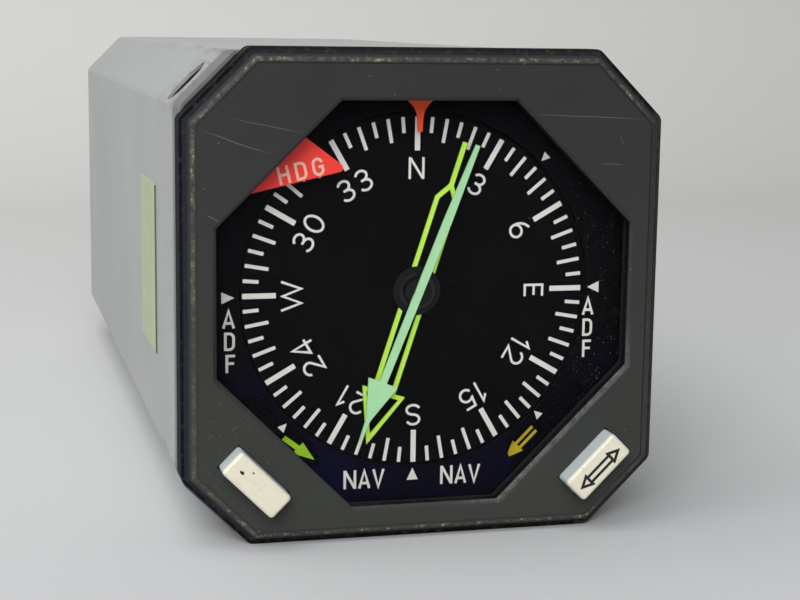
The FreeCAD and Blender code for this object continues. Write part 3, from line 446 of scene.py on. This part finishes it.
# %% Label and index
def slab(name, parts, node):
    """Flat pieces from (outline, y0, y1); an outline is (x, z) points, anticlockwise from the front."""
    built = bmesh.new()
    for outline, y0, y1 in parts:
        front = [built.verts.new((x * MM, y0 * MM, z * MM)) for x, z in outline]
        back = [built.verts.new((x * MM, y1 * MM, z * MM)) for x, z in outline]
        built.faces.new(front)
        built.faces.new(back[::-1])
        for i in range(len(outline)):
            built.faces.new((front[i - 1], back[i - 1], back[i], front[i]))
    bmesh.ops.recalc_face_normals(built, faces=built.faces)
    mesh = bpy.data.meshes.new(name)
    built.to_mesh(mesh)
    built.free()
    made = add_object(name, mesh)
    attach(made, "instrument")
    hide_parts(node)
    nodes[node] = made


def rectangle(x0, x1, z0, z1):
    return [(x0, z0), (x1, z0), (x1, z1), (x0, z1)]


plate_lo, plate_hi = (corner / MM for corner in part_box("data_plate"))
label_bottom, label_top, label_front = -16.2, 15.3, 36.0
face = rectangle(plate_lo.x, plate_hi.x, label_bottom, label_top)
slab("side_label", [(face, label_front, plate_hi.y)], "data_plate")

index_lo, index_hi = (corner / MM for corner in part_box("lubber_pointer"))
sheet, foot_height, tip_half = 0.35, 2.0, 0.42
INDEX_HALVES = [(0.0, 2.5), (0.5, 1.95), (1.0, 1.45), (1.6, 1.0), (2.3, 0.7), (3.2, 0.52), (4.2, 0.45)]
right_side = [(half, opening_top - drop) for drop, half in reversed(INDEX_HALVES)]
finger = [(tip_half, index_lo.z)] + right_side + [(index_hi.x, index_hi.z)]
outline = finger + [(-x, z) for x, z in reversed(finger)]
foot = rectangle(index_lo.x, index_hi.x, index_hi.z - foot_height, index_hi.z)
foot_front = index_lo.y + sheet
slab("index_sheet", [(outline, index_lo.y, foot_front), (foot, foot_front, index_hi.y)], "lubber_pointer")
print("label", round(plate_hi.y - label_front, 1), "mm long, index finger",
      round(opening_top - index_lo.z, 2), "mm")

# %% [markdown]
# ## Label foil
# A pale green foil is stuck to the left side. Age has left blue-green clouds on it, made here by
# two noises, and its front edge casts a thin dark line, which a mask along its length draws.

# %% Label look
look = Look("label foil", Roughness=0.45, Metallic=0.15)
smudge = look.noise(0.5, 4.0, 0.6, (1.0, 1.0, 0.35)).ramp(0.48, 0.66)
base = look.blend(look.noise(0.2, 3.0).ramp(0.3, 0.7), colour(188, 196, 152), colour(176, 187, 146))
base = look.blend(smudge * look.axis(1).ramp(38, 42) * 0.35, base, colour(150, 166, 146))
faded = look.noise(1.1, 4.0, 0.6).ramp(0.50, 0.60) * look.axis(1).ramp(40, 43) * look.axis(1).ramp(59, 56)
base = look.blend(faded * 0.4, base, colour(142, 164, 152))
base = look.blend(look.axis(1).ramp(36.5, 36.3), base, colour(96, 100, 78))
look.paint("Base Color", base)
wear(look, "label_foil", "data_plate")

# %% [markdown]
# ## Dial blacks and pointer paints
# The card and the mask are matt black, the mask a little glossier. The coated glass throws a
# blue-violet shine onto the mask's lower part, which is painted here, as the shine of a thin
# coating would need more than a plain glass. The pointers wear fluorescent greens.


# %% Plain painted looks
def plain(name, rgb, roughness, metallic=0.0, grime=0.15, dark=None, gloss=0.5):
    look = Look(name, Roughness=roughness, Metallic=metallic, Specular_IOR_Level=gloss)
    base = look.blend(look.noise(0.5, 4.0).ramp(0.35, 0.75) * grime, colour(*rgb),
                      dark or colour(*(0.5 * c for c in rgb)))
    look.paint("Base Color", base)
    return look


look = Look("card black", Roughness=0.8, Specular_IOR_Level=0.03)
base = look.blend(look.noise(0.15, 3.0).ramp(0.3, 0.8), colour(9, 9, 9), colour(14, 14, 14))
base = look.blend(look.specks(0.35, 0.07, 0.35) * 0.5, base, colour(110, 110, 112))
look.paint("Base Color", base)
wear(look, "card_black", "compass_card")

look = Look("mask black", Roughness=0.7, Specular_IOR_Level=0.05)
x, z = look.axis(0), look.axis(2)
low = (-z - 2).ramp(4, 30) * (abs(x) - z).ramp(22, 46)
tint = low * look.noise(0.10, 3.0).ramp(0.30, 0.62) * (x.ramp(8, 20) * -0.45 + 1)
base = look.blend(tint, colour(8, 8, 9), colour(13, 13, 42))
dusty = x.ramp(10, 34)
base = look.blend(look.specks(0.9, 0.16, 0.30) * (dusty * 0.7 + 0.1), base, colour(86, 88, 104))
dust_band = x.ramp(22, 30) * (x + z * 0.4).ramp(20, 26) * look.noise(0.12, 2.0).ramp(0.4, 0.6)
base = look.blend(look.specks(1.6, 0.20, 0.4) * dust_band * 0.8, base, colour(140, 142, 148))
look.paint("Base Color", base)
wear(look, "mask_black", "dial_mask")

wear(plain("lubber orange", (255, 78, 20), 0.6, grime=0.1), "index_orange", "lubber_pointer")
shutter_look = plain("shutter black", (10, 10, 14), 0.8, gloss=0.05)
wear(shutter_look, "shutter_black", "left_shutter", "right_shutter")

# %% [markdown]
# ## Two pointers, one shaft inside the other
# Both pointers carry black paint over the hub, so that the eye reads only the bars. The hub is
# a circle about the dial's axis, so its mask is a radius: the square root of x² + z².


# %% Pointer looks
def pointer_look(name, rgb, shade, hub_radius, bearing, bar_half):
    """Bright paint, and black inside the hub's radius except on a bar of that half width."""
    look = Look(name, Roughness=0.55, Specular_IOR_Level=0.2)
    x, z = look.axis(0), look.axis(2)
    radius = (x * x + z * z) ** 0.5
    across = abs(x * math.cos(math.radians(bearing)) - z * math.sin(math.radians(bearing)))
    hub = radius.ramp(hub_radius + 0.02, hub_radius - 0.02) * across.ramp(bar_half - 0.02, bar_half + 0.02)
    base = look.blend(look.noise(0.4, 3.0).ramp(0.3, 0.7) * 0.4, colour(*rgb), colour(*shade))
    look.paint("Base Color", look.blend(hub, base, colour(15, 14, 14)))
    return look


NO_BAR = -1
wear(pointer_look("double pointer green", (206, 252, 92), (184, 236, 72),
                  hub_radius=4.25, bearing=197.9, bar_half=NO_BAR), "pointer_lime", "double_pointer")
wear(pointer_look("single pointer green", (178, 232, 178), (162, 218, 162),
                  hub_radius=2.5, bearing=201.7, bar_half=0.73), "pointer_mint", "single_pointer")

# %% [markdown]
# ## Metals, boards and small parts
# The mechanism is hidden in use, but a reader who takes the sleeve off sees it: brass wheels,
# steel pinions, alloy plates and green boards. Posts and shafts reach up to the dial, so their
# front ends are blacked.

# %% Looks of the inside
BRASS, STEEL = (214, 178, 104), (190, 190, 194)


def metal(name, rgb, roughness):
    look = plain(name, rgb, roughness, 1.0, 0.3)
    look.bump(look.noise(2.5, 3.0, 0.5, (1.0, 0.05, 1.0)), 0.005)
    return look


def blacked(name, rgb, roughness, y0, y1):
    """Metal that is painted black in front of y0 and bare behind y1."""
    look = metal(name, rgb, roughness)
    bare = look.axis(1).ramp(y0, y1)
    look.paint("Base Color", look.blend(bare, colour(12, 12, 12), colour(*rgb)))
    return look.paint("Metallic", bare)


brass = metal("wheel brass", BRASS, 0.3)
steel = metal("ground steel", STEEL, 0.25)
alloy = metal("plate alloy", (196, 197, 196), 0.4)
dull_alloy = metal("dull alloy", (150, 152, 156), 0.5)
gold = metal("contact gold", (230, 186, 92), 0.25)
olive = metal("olive plating", (120, 120, 92), 0.45)
black_plastic = plain("black moulding", (26, 26, 27), 0.55)
green_board = plain("board lacquer", (36, 104, 62), 0.3)

wear(brass, "gear_brass", "card_gear", "double_gear", "single_gear",
     "card_synchro_gear", "double_synchro_gear", "single_synchro_gear")
wear(blacked("post brass", BRASS, 0.3, 1.6, 1.7), "post_brass", "mask_posts")
wear(blacked("shaft steel", STEEL, 0.3, 2.9, 3.0), "shaft_steel", "card_tube", "double_shaft", "single_shaft")
wear(steel, "pinion_steel", "card_pinion", "double_pinion", "single_pinion")
wear(steel, "bearing_steel", "card_bearing", "double_bearing", "single_bearing")
wear(steel, "spring_steel", "left_spring", "right_spring")
wear(steel, "screw_steel", "bezel_screws", "plate_screws", "rear_screws")
wear(plain("plate anodise", (52, 52, 53), 0.7), "plate_alloy", "front_plate", "middle_plate",
     "motor_plate", "rear_plate", "board_rails")
wear(alloy, "pillar_alloy", "plate_pillars")
wear(alloy, "lever_alloy", "flag_lever")
wear(dull_alloy, "synchro_alloy", "card_synchro", "double_synchro", "single_synchro")
wear(steel, "motor_steel", "card_motor", "double_motor", "single_motor")
wear(black_plastic, "meter_black", "flag_meter", "left_switch", "right_switch")
wear(green_board, "board_green", "upper_board", "lower_board")
wear(olive, "connector_alloy", "rear_connector")
wear(plain("insert rubber", (30, 30, 31), 0.7), "insert_black", "connector_insert")
wear(gold, "pin_gold", "connector_pins")
wear(plain("gasket rubber", (14, 14, 14), 0.8), "gasket", "window_gasket")

# %% [markdown]
# ## Window
# A coated glass reflects very little, so the shader is mostly transparent. The alpha is fixed
# and small, and the gloss on top of it is what shows. Each lamp is a clear bulb in a dark cap.

# %% Window and lamps
look = Look("window", Roughness=0.04, Alpha=0.035, IOR=1.45)
look.shader.inputs["Base Color"].default_value = colour(30, 30, 40)
wear(look, "window", "window_glass")

look = Look("lamp glass", Roughness=0.1)
bulb = look.axis(1).ramp(-0.02, -0.06)
look.paint("Base Color", look.blend(bulb, colour(14, 14, 14), colour(235, 230, 210)))
look.paint("Alpha", bulb * -0.6 + 1)
wear(look, "lamp", "dial_lamps")

# %% [markdown]
# ## Strokes make the lettering
# Engraved dials are lettered with one stroke of even width, like a pen's. Each character is
# therefore a few lines and arcs on a small grid, six high, and `ribbon` gives a line its width.
# Flat ends and mitred corners follow from the two offsets of each point.


# %% Line and arc helpers
def arc(cx, cz, rx, rz, start, end, steps=14):
    """Points of an elliptical arc; angles in degrees, anticlockwise from the right."""
    points = []
    for i in range(steps + 1):
        a = math.radians(start + (end - start) * i / steps)
        points.append((cx + rx * math.cos(a), cz + rz * math.sin(a)))
    return points


def ribbon(points, width):
    """Corner points of a flat band along a line, left side out and right side back."""
    points = points[:1] + [b for a, b in zip(points, points[1:]) if math.dist(a, b) > 0.01]
    left, right = [], []
    for i, (x, z) in enumerate(points):
        before = Vector(points[max(i - 1, 0)])
        here, after = Vector((x, z)), Vector(points[min(i + 1, len(points) - 1)])
        a = (here - before).normalized() if i else (after - here).normalized()
        b = (after - here).normalized() if i < len(points) - 1 else a
        normal = Vector((-(a + b).y, (a + b).x)).normalized()
        reach = width / 2 / max(normal.dot(Vector((-a.y, a.x))), 0.45)
        left.append(here + normal * reach)
        right.append(here - normal * reach)
    return left, right


# %% [markdown]
# ## The characters
# Only the letters and figures that the dial needs are drawn. Each has its width and its lines.
# A bowl is an arc, and `LOW` and `TOP` are the heights of a flat stroke's middle.

# %% Characters as strokes, six units high
LOW, TOP = 0.4, 5.6


def closed(points):
    return points + points[:2]


GLYPHS = {
    "N": (4.65, [[(0.4, 0), (0.4, 6)], [(4.25, 0), (4.25, 6)], [(0.5, 5.8), (4.15, 0.2)]]),
    "E": (3.6, [[(0.4, 0), (0.4, 6)], [(0.4, LOW), (3.6, LOW)], [(0.4, 3.05), (3.3, 3.05)],
                [(0.4, TOP), (3.6, TOP)]]),
    "S": (4.3, [arc(2.15, 4.27, 1.7, 1.33, 22, 270, 18) + arc(2.15, 1.67, 1.78, 1.27, 90, -158, 18)]),
    "W": (8.6, [[(0.3, 6), (2.3, 0.4), (4.3, 5.6), (6.3, 0.4), (8.3, 6)]]),
    "0": (4.4, [closed(arc(2.2, 3, 1.8, 2.6, 0, 346, 27))]),
    "1": (1.9, [[(1.5, 0), (1.5, 5.7), (0.2, 4.2)]]),
    "2": (4.2, [arc(2.1, 4.05, 1.65, 1.55, 170, -36, 16) + [(0.5, LOW), (4.1, LOW)]]),
    "3": (4.0, [arc(1.95, 4.33, 1.5, 1.27, 158, -90, 16) + [(1.3, 3.06)],
                arc(1.95, 1.73, 1.65, 1.33, 90, -158, 18)]),
    "4": (4.3, [[(3.1, 0), (3.1, 5.7), (0.3, 1.75), (4.3, 1.75)]]),
    "5": (4.0, [[(3.6, TOP), (0.85, TOP), (0.6, 3.1)] + arc(1.95, 2.05, 1.65, 1.65, 138, -156, 18)]),
    "6": (4.1, [closed(arc(2.05, 1.95, 1.65, 1.55, 0, 345, 24)), arc(3.9, 2.2, 3.5, 3.5, 180, 105, 10)]),
    "A": (4.4, [[(0.3, 0), (2.2, 5.7), (4.1, 0)], [(0.9, 1.7), (3.5, 1.7)]]),
    "D": (3.8, [[(0.4, 0), (0.4, 6)], [(0.4, TOP), (1.9, TOP)] + arc(1.9, 4.1, 1.5, 1.5, 90, 0, 7)
                + arc(1.9, 1.9, 1.5, 1.5, 0, -90, 7) + [(0.4, LOW)]]),
    "F": (3.4, [[(0.4, 0), (0.4, 6)], [(0.4, TOP), (3.4, TOP)], [(0.4, 3.1), (3.0, 3.1)]]),
    "G": (3.8, [arc(1.9, 4.1, 1.5, 1.5, 5, 180, 10) + arc(1.9, 1.9, 1.5, 1.5, 180, 360, 10)
                + [(3.4, 2.9), (2.0, 2.9)]]),
    "H": (3.8, [[(0.4, 0), (0.4, 6)], [(3.4, 0), (3.4, 6)], [(0.4, 3.05), (3.4, 3.05)]]),
    "V": (4.4, [[(0.3, 6), (2.2, 0.3), (4.1, 6)]]),
}


# %% [markdown]
# ## From strokes to a mesh
# Printing is a thin film of ink, so the strokes become flat faces a hair's breadth in front of
# what they are printed on. Strokes that cross would flicker if they lay in one plane, so each
# lies a little further out than the one before, in a few dozen layers.

# %% Flat printing
LAYERS, LAYER_STEP = 40, 0.0008


def flat_mesh(name, outlines, y, material):
    """Flat faces in the dial's plane from (x, z) outlines; crossing strokes lie in thin layers."""
    vertices, faces = [], []
    for number, outline in enumerate(outlines):
        area = sum(x0 * z1 - x1 * z0 for (x0, z0), (x1, z1) in zip(outline, outline[1:] + outline[:1]))
        layer = y - LAYER_STEP * (number % LAYERS)
        first = len(vertices)
        vertices += [(x * MM, layer * MM, z * MM) for x, z in (outline if area > 0 else outline[::-1])]
        faces.append(tuple(range(first, first + len(outline))))
    mesh = bpy.data.meshes.new(name)
    mesh.from_pydata(vertices, [], faces)
    mesh.materials.append(material)
    return add_object(name, mesh)


def outlines_of(strokes, width):
    """One four-cornered outline for each straight step of each stroke."""
    shapes = []
    for line in strokes:
        left, right = ribbon(line, width)
        for i in range(len(left) - 1):
            shapes.append([left[i], left[i + 1], right[i + 1], right[i]])
    return shapes


def lettering(word, height, width, spacing, centre, turn=0.0, squeeze=1.0):
    """Strokes of a word, centred on a point; turn is clockwise in degrees."""
    unit = height / 6
    total = sum(GLYPHS[c][0] * unit * squeeze for c in word) + spacing * (len(word) - 1)
    cursor = -total / 2
    strokes = []
    a = math.radians(turn)
    for c in word:
        wide, lines = GLYPHS[c]
        for line in lines:
            placed = []
            for x, z in line:
                px, pz = cursor + x * unit * squeeze, (z - 3) * unit
                placed.append((centre[0] + px * math.cos(a) + pz * math.sin(a),
                               centre[1] - px * math.sin(a) + pz * math.cos(a)))
            strokes.append(placed)
        cursor += wide * unit * squeeze + spacing
    return outlines_of(strokes, width)


marking = plain("marking ink", (236, 233, 225), 0.6, grime=0.2, dark=colour(190, 187, 180))

# %% [markdown]
# ## Card characters
# Each character stands on a circle and faces outwards, at every 30 degrees. As on the real card,
# the print sits a little off the card's centre, and the lone letters are a little smaller.

# %% Card characters
CARD_WORDS = ["N", "3", "6", "E", "12", "15", "S", "21", "24", "W", "30", "33"]
character_radius, print_shift = 21.5, (-0.1, -0.5)
letter_height, figure_height, stroke, letter_space = 3.7, 3.95, 0.43, 0.85
shapes = []
for i, word in enumerate(CARD_WORDS):
    bearing = math.radians(30 * i)
    centre = (character_radius * math.sin(bearing) + print_shift[0],
              character_radius * math.cos(bearing) + print_shift[1])
    height = letter_height if word in "NEW" else figure_height
    shapes += lettering(word, height, stroke, letter_space, centre, 30 * i)
characters = flat_mesh("card_characters", shapes, card_face - PRINT_LIFT, marking.material)
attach(characters, "card")
print(len(CARD_WORDS), "card characters")

# %% [markdown]
# ## Graduations with Geometry Nodes
# The card has a short mark at every 5 degrees, a longer one at every 10, and a long and thick one
# at every 30. One tree makes all 72: points in a circle, and on each a bar that hangs inwards
# from the rim. The remainder of the point's number tells the tree how long that bar is.


# %% The ring tree
class Tree:
    """A Geometry Nodes group with named inputs, which ends in real geometry with one material."""

    def __init__(self, name, inputs):
        self.group = bpy.data.node_groups.new(name, "GeometryNodeTree")
        self.ports = {}
        for label, kind in inputs.items():
            made = self.group.interface.new_socket(label, in_out="INPUT", socket_type="NodeSocket" + kind)
            self.ports[label] = made.identifier
        self.group.interface.new_socket("Geometry", in_out="OUTPUT", socket_type="NodeSocketGeometry")
        self.given = self.group.nodes.new("NodeGroupInput").outputs

    def node(self, kind, settings=None, **inputs):
        made = self.group.nodes.new(kind)
        for key, value in (settings or {}).items():
            setattr(made, key, value)
        for key, value in inputs.items():
            numbered = key[1:].isdigit()
            slot = made.inputs[int(key[1:]) if numbered else key.replace("_", " ")]
            if isinstance(value, bpy.types.NodeSocket):
                self.group.links.new(value, slot)
            else:
                slot.default_value = value
        return made.outputs[0]

    def math(self, operation, *values):
        numbered = {f"i{n}": value for n, value in enumerate(values)}
        return self.node("ShaderNodeMath", {"operation": operation}, **numbered)

    def finish(self, geometry, material):
        real = self.node("GeometryNodeRealizeInstances", Geometry=geometry)
        coated = self.node("GeometryNodeSetMaterial", Geometry=real, Material=material)
        self.group.links.new(coated, self.group.nodes.new("NodeGroupOutput").inputs[0])


tree = Tree("ring of marks", {"Count": "Int", "Radius": "Float", "Short": "Float", "Medium": "Float",
                              "Long": "Float", "Thin": "Float", "Thick": "Float", "Finish": "Material"})
given = tree.given
index = tree.node("GeometryNodeInputIndex")
even = tree.math("LESS_THAN", tree.math("MODULO", index, 2.0), 0.5)
sixth = tree.math("LESS_THAN", tree.math("MODULO", index, 6.0), 0.5)
longer = tree.math("SUBTRACT", given["Medium"], given["Short"])
longest = tree.math("SUBTRACT", given["Long"], given["Medium"])
length = tree.math("MULTIPLY_ADD", even, longer, given["Short"])
length = tree.math("MULTIPLY_ADD", sixth, longest, length)
width = tree.math("MULTIPLY_ADD", sixth, tree.math("SUBTRACT", given["Thick"], given["Thin"]), given["Thin"])
turn = tree.math("MULTIPLY", index, tree.math("DIVIDE", 2 * math.pi, given["Count"]))
points = tree.node("GeometryNodePoints", Count=given["Count"])
square = tree.node("GeometryNodeMeshGrid", Vertices_X=2, Vertices_Y=2, Size_X=1.0, Size_Y=1.0)
hung = tree.node("GeometryNodeTransform", Geometry=square, Translation=(0, 0, -0.5),
                 Rotation=(math.pi / 2, 0, 0))
scale = tree.node("ShaderNodeCombineXYZ", X=width, Y=1.0, Z=length)
bars = tree.node("GeometryNodeInstanceOnPoints", Points=points, Instance=hung, Scale=scale)
outward = tree.node("ShaderNodeCombineXYZ", Z=given["Radius"])
lifted = tree.node("GeometryNodeTranslateInstances", Instances=bars, Translation=outward,
                   Local_Space=False)
spin = tree.node("ShaderNodeCombineXYZ", Y=turn)
turned = tree.node("GeometryNodeRotateInstances", Instances=lifted, Rotation=spin, Local_Space=False)
tree.finish(turned, given["Finish"])

# %% [markdown]
# ## The tree at work
# The tree runs once, on an empty mesh, and what it made is kept as a plain mesh on the card.


# %% The card's graduations
def grown(name, tree, **values):
    """Run a tree and keep its result as a plain mesh."""
    made = add_object(name, bpy.data.meshes.new(name))
    modifier = made.modifiers.new("tree", "NODES")
    modifier.node_group = tree.group
    for label, value in values.items():
        modifier[tree.ports[label]] = value
    evaluated(made)
    return made


graduations = grown("graduations", tree, Count=72, Radius=30.1 * MM, Short=2.7 * MM, Medium=4.1 * MM,
                    Long=5.75 * MM, Thin=0.62 * MM, Thick=0.92 * MM, Finish=marking.material)
ring_drop = 0.35
graduations.data.transform(Matrix.Translation((0, (card_face - PRINT_LIFT) * MM, -ring_drop * MM)))
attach(graduations, "card")
spans = [round(v.co.length / MM, 2) for v in graduations.data.vertices]
print(len(graduations.data.polygons), "marks between radius", min(spans), "and", max(spans), "mm")

# %% [markdown]
# ## Mask marks and legends
# The mask carries three large index triangles, which stand with the orange index at the quarters,
# a small one at each of three diagonals, and the two sources that each button chooses from.

# %% Mask marks
def triangle(tip, base, half):
    """An index triangle from its tip towards the point at the middle of its base."""
    t, b = Vector(tip), Vector(base)
    side = (b - t).normalized()
    side = Vector((-side.y, side.x)) * half
    return [t, b + side, b - side]


small_length, small_half = 1.55, 0.75
shapes = [triangle((-31.55, -0.4), (-33.75, -0.4), 1.0), triangle((31.0, -0.1), (33.15, -0.1), 1.0),
          triangle((-0.35, -31.2), (-0.35, -33.35), 1.0)]
for x, z in ((21.9, 22.1), (-22.6, -22.3), (21.75, -22.0)):
    step = small_length * diagonal
    shapes.append(triangle((x, z), (x + math.copysign(step, x), z + math.copysign(step, z)), small_half))
for x, top, lean in ((-32.55, -4.0, 0.15), (31.25, -3.5, 0.0)):
    for i, c in enumerate("ADF"):
        shapes += lettering(c, 3.1, 0.46, 0, (x + lean * i, top - 3.8 * i), 0, 0.9)
for x in (-9.0, 8.35):
    shapes += lettering("NAV", 3.3, 0.47, 0.45, (x, -32.8), 0, 0.85)
marks = flat_mesh("mask_marks", shapes, mask_face - PRINT_LIFT, marking.material)
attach(marks, "instrument")

# %% [markdown]
# ## Source arrows on the shutters
# Each shutter slides behind two windows of the mask. The green arrow stands for the single
# pointer and the yellow double arrow for the other, so pressing a button moves an arrow from one
# window to the other. The second arrow of a shutter waits one window's distance and one travel
# away, so that it arrives as the first one leaves.


# %% Shutter arrows
def on_diagonal(side, along, reach):
    """Point on the lower left (-1) or lower right (1) diagonal; along grows towards the bottom."""
    return (side * (reach - along) * diagonal, -(reach + along) * diagonal)


def arrow(side, tail, neck, tip, reach, bar, head, lean=0.0):
    """Outline of a solid arrow at the given reach from the dial's axis; lean is its drift inwards."""
    along = [(tail, -bar / 2), (neck, -bar / 2), (neck, -head / 2), (tip, 0), (neck, head / 2),
             (neck, bar / 2), (tail, bar / 2)]
    return [on_diagonal(side, s, reach + r - lean * (s - tail)) for s, r in along]


shutter_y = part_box("left_shutter")[0].y / MM - PRINT_LIFT
travel, left_windows, right_windows = 8.0, 9.9, 10.9
green_ink = plain("arrow green", (170, 226, 30), 0.55)
yellow_ink = plain("arrow yellow", (214, 190, 34), 0.55)
shapes = [arrow(-1, 1.4 - k, 4.5 - k, 8.2 - k, 33.95, 0.95, 2.6, 0.13) for k in (0, left_windows + travel)]
left_arrow = flat_mesh("left_arrow", shapes, shutter_y, green_ink.material)
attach(left_arrow, "left_shutter")

shapes = []
for k in (0, right_windows + travel):
    for reach in (33.15, 34.2):
        shapes.append(arrow(1, 2.3 - k, 6.7 - k, 6.7 - k, reach, 0.55, 0.55))
    shapes.append(arrow(1, 6.5 - k, 6.5 - k, 9.6 - k, 33.65, 0.1, 2.8))
right_arrow = flat_mesh("right_arrow", shapes, shutter_y, yellow_ink.material)
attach(right_arrow, "right_shutter")

# %% [markdown]
# ## Heading flag
# A red pennant with three pale letters that run along its lower edge. They ride with the flag,
# so they swing out of sight behind the bezel when the heading is valid.

# %% Flag
wear(plain("flag red", (255, 58, 46), 0.6, grime=0.15, dark=colour(226, 40, 34)), "flag_red", "heading_flag")
flag_ink = plain("flag ink", (255, 200, 180), 0.6)
flag_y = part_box("heading_flag")[0].y / MM - PRINT_LIFT
flag_word = lettering("HDG", 3.0, 0.46, 1.05, (-20.84, 21.0), -13)
letters = flat_mesh("flag_letters", flag_word, flag_y, flag_ink.material)
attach(letters, "flag")

# %% [markdown]
# ## Push-buttons
# Ivory caps with softened edges. Their sides are painted bluish, a painted reflection of the room instead of
# the lamp.
# The right one shows a double arrow in black outline. The left one's symbol is worn away, so only
# two dark chips are left.

# %% Buttons
look = Look("button ivory", Roughness=0.4)
# Painted reflection: the caps' sides are painted a pale blue.
side = look.axis(1).ramp(-11.1, -10.4)
smudge = look.noise(0.7, 5.0, 0.7)
base = look.blend(smudge.ramp(0.35, 0.75) * 0.5, colour(229, 223, 202), colour(208, 202, 177))
base = look.blend(side * 0.8, base, colour(182, 196, 202))
base = look.blend(look.noise(2.2, 3.0).ramp(0.68, 0.74) * 0.6, base, colour(140, 132, 112))
look.paint("Base Color", base)
look.bump(look.noise(1.2, 3.0), 0.04)
wear(look, "button_ivory", "left_button", "right_button")

button_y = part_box("right_button")[0].y / MM - PRINT_LIFT
BUTTON_DISTANCE = 42.0
ink = plain("button ink", (7, 7, 8), 0.6)


def button_point(side, along, across):
    """Point on a button's top; along runs up and outwards along the button's length."""
    middle = BUTTON_DISTANCE * diagonal
    return (side * (middle + (along + across) * diagonal), -middle + (along - across) * diagonal)


half_bar, neck, tip, head, outward, line = 0.56, 2.68, 4.44, 0.95, 0.3, 0.5
strokes = [[(side * half_bar, -neck), (side * half_bar, neck)] for side in (-1, 1)]
strokes += [closed([(-head, end * neck), (head, end * neck), (0, end * tip)]) for end in (-1, 1)]
lines = outlines_of([[button_point(1, along, across + outward) for across, along in stroke]
                     for stroke in strokes], line)
symbol = flat_mesh("right_symbol", lines, button_y, ink.material)
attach(symbol, "right_button")

CHIPS = [(3.46, 0.07, 0.5, 0.3, (0, 1.2, 2.2, 3.4, 4.6)), (2.0, -1.15, 0.2, 0.2, (0, 1.5, 3, 4.5))]
chips = [[button_point(-1, along + long * math.cos(a), across + wide * math.sin(a)) for a in angles]
         for along, across, long, wide, angles in CHIPS]
worn = flat_mesh("left_symbol", chips, button_y, ink.material)
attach(worn, "left_button")

# %% [markdown]
# ## Floor, light and camera
# The instrument lies on a pale sheet that curves up behind it. The light is a large soft lamp in
# front, a weaker one above and a faint one at the left, in a plain grey world. The camera's place
# and lens were worked out from the corners of the bezel and the housing in the photograph.

# %% Stage
floor_look = Look("paper", Roughness=0.9)
# Painted light: the paper is painted darker towards the front and lighter towards the back.
floor_look.paint("Base Color", floor_look.blend(floor_look.axis(1).ramp(-100, 700),
                                                colour(190, 191, 193), colour(222, 222, 218)))
floor_z, floor_front, floor_side, wall_top = -flange_half, -1500, 1800, 1600
curve_start, curve_radius, curve_steps = 520, 260, 24
sweep = []
for i in range(curve_steps + 1):
    a = math.pi / 2 * i / curve_steps
    sweep.append((curve_start + curve_radius * math.sin(a), floor_z + curve_radius * (1 - math.cos(a))))
profile = [(floor_front, floor_z)] + sweep + [(curve_start + curve_radius, wall_top)]
vertices = [(x * MM, y * MM, z * MM) for y, z in profile for x in (-floor_side, floor_side)]
faces = [(2 * i, 2 * i + 1, 2 * i + 3, 2 * i + 2) for i in range(len(profile) - 1)]
mesh = bpy.data.meshes.new("paper_sweep")
mesh.from_pydata(vertices, [], faces)
mesh.materials.append(floor_look.material)
mesh.shade_smooth()
add_object("paper_sweep", mesh)


def lamp(name, place, aim, size, power):
    """A square soft lamp; places and size in metres, power in watts."""
    data = bpy.data.lights.new(name, "AREA")
    data.shape, data.size, data.size_y, data.energy = "RECTANGLE", size, size, power
    made = add_object(name, data)
    made.location = place
    made.rotation_euler = (Vector(aim) - Vector(place)).to_track_quat("-Z", "Y").to_euler()


lamp("overhead", (-0.36, -0.05, 0.8), (0, 0.05, 0), 0.8, 4.5)
lamp("left", (-0.9, -0.2, 0.4), (0, 0.05, 0), 0.6, 0.9)
lamp("front", (-0.35, -0.95, 0.6), (0, 0, 0), 0.7, 10.2)
world = bpy.data.worlds.new("room")
world.use_nodes = True
world.node_tree.nodes["Background"].inputs[0].default_value = (0.9, 0.92, 0.95, 1)
world.node_tree.nodes["Background"].inputs[1].default_value = 0.28
bpy.context.scene.world = world

# %% Camera
sensor, focal_pixels, picture_pixels = 36, 1709.3, 800
azimuth, elevation, roll = (math.radians(angle) for angle in (-14.41, 9.2, 0.76))
distance = 284.5
camera_data = bpy.data.cameras.new("camera")
camera_data.sensor_width = sensor
camera_data.lens = sensor * focal_pixels / picture_pixels
camera_data.clip_start, camera_data.clip_end = 0.01, 10
camera = add_object("camera", camera_data)
back = Vector((math.sin(azimuth) * math.cos(elevation), -math.cos(azimuth) * math.cos(elevation),
               math.sin(elevation)))
target = Vector((-5.02, face_y, -0.18)) * MM
camera.location = target + back * distance * MM
level = (-back).to_track_quat("-Z", "Y").to_matrix()
camera.rotation_euler = (level @ Matrix.Rotation(roll, 3, "Z")).to_euler()
bpy.context.scene.camera = camera
bpy.context.scene.view_settings.view_transform = "Standard"
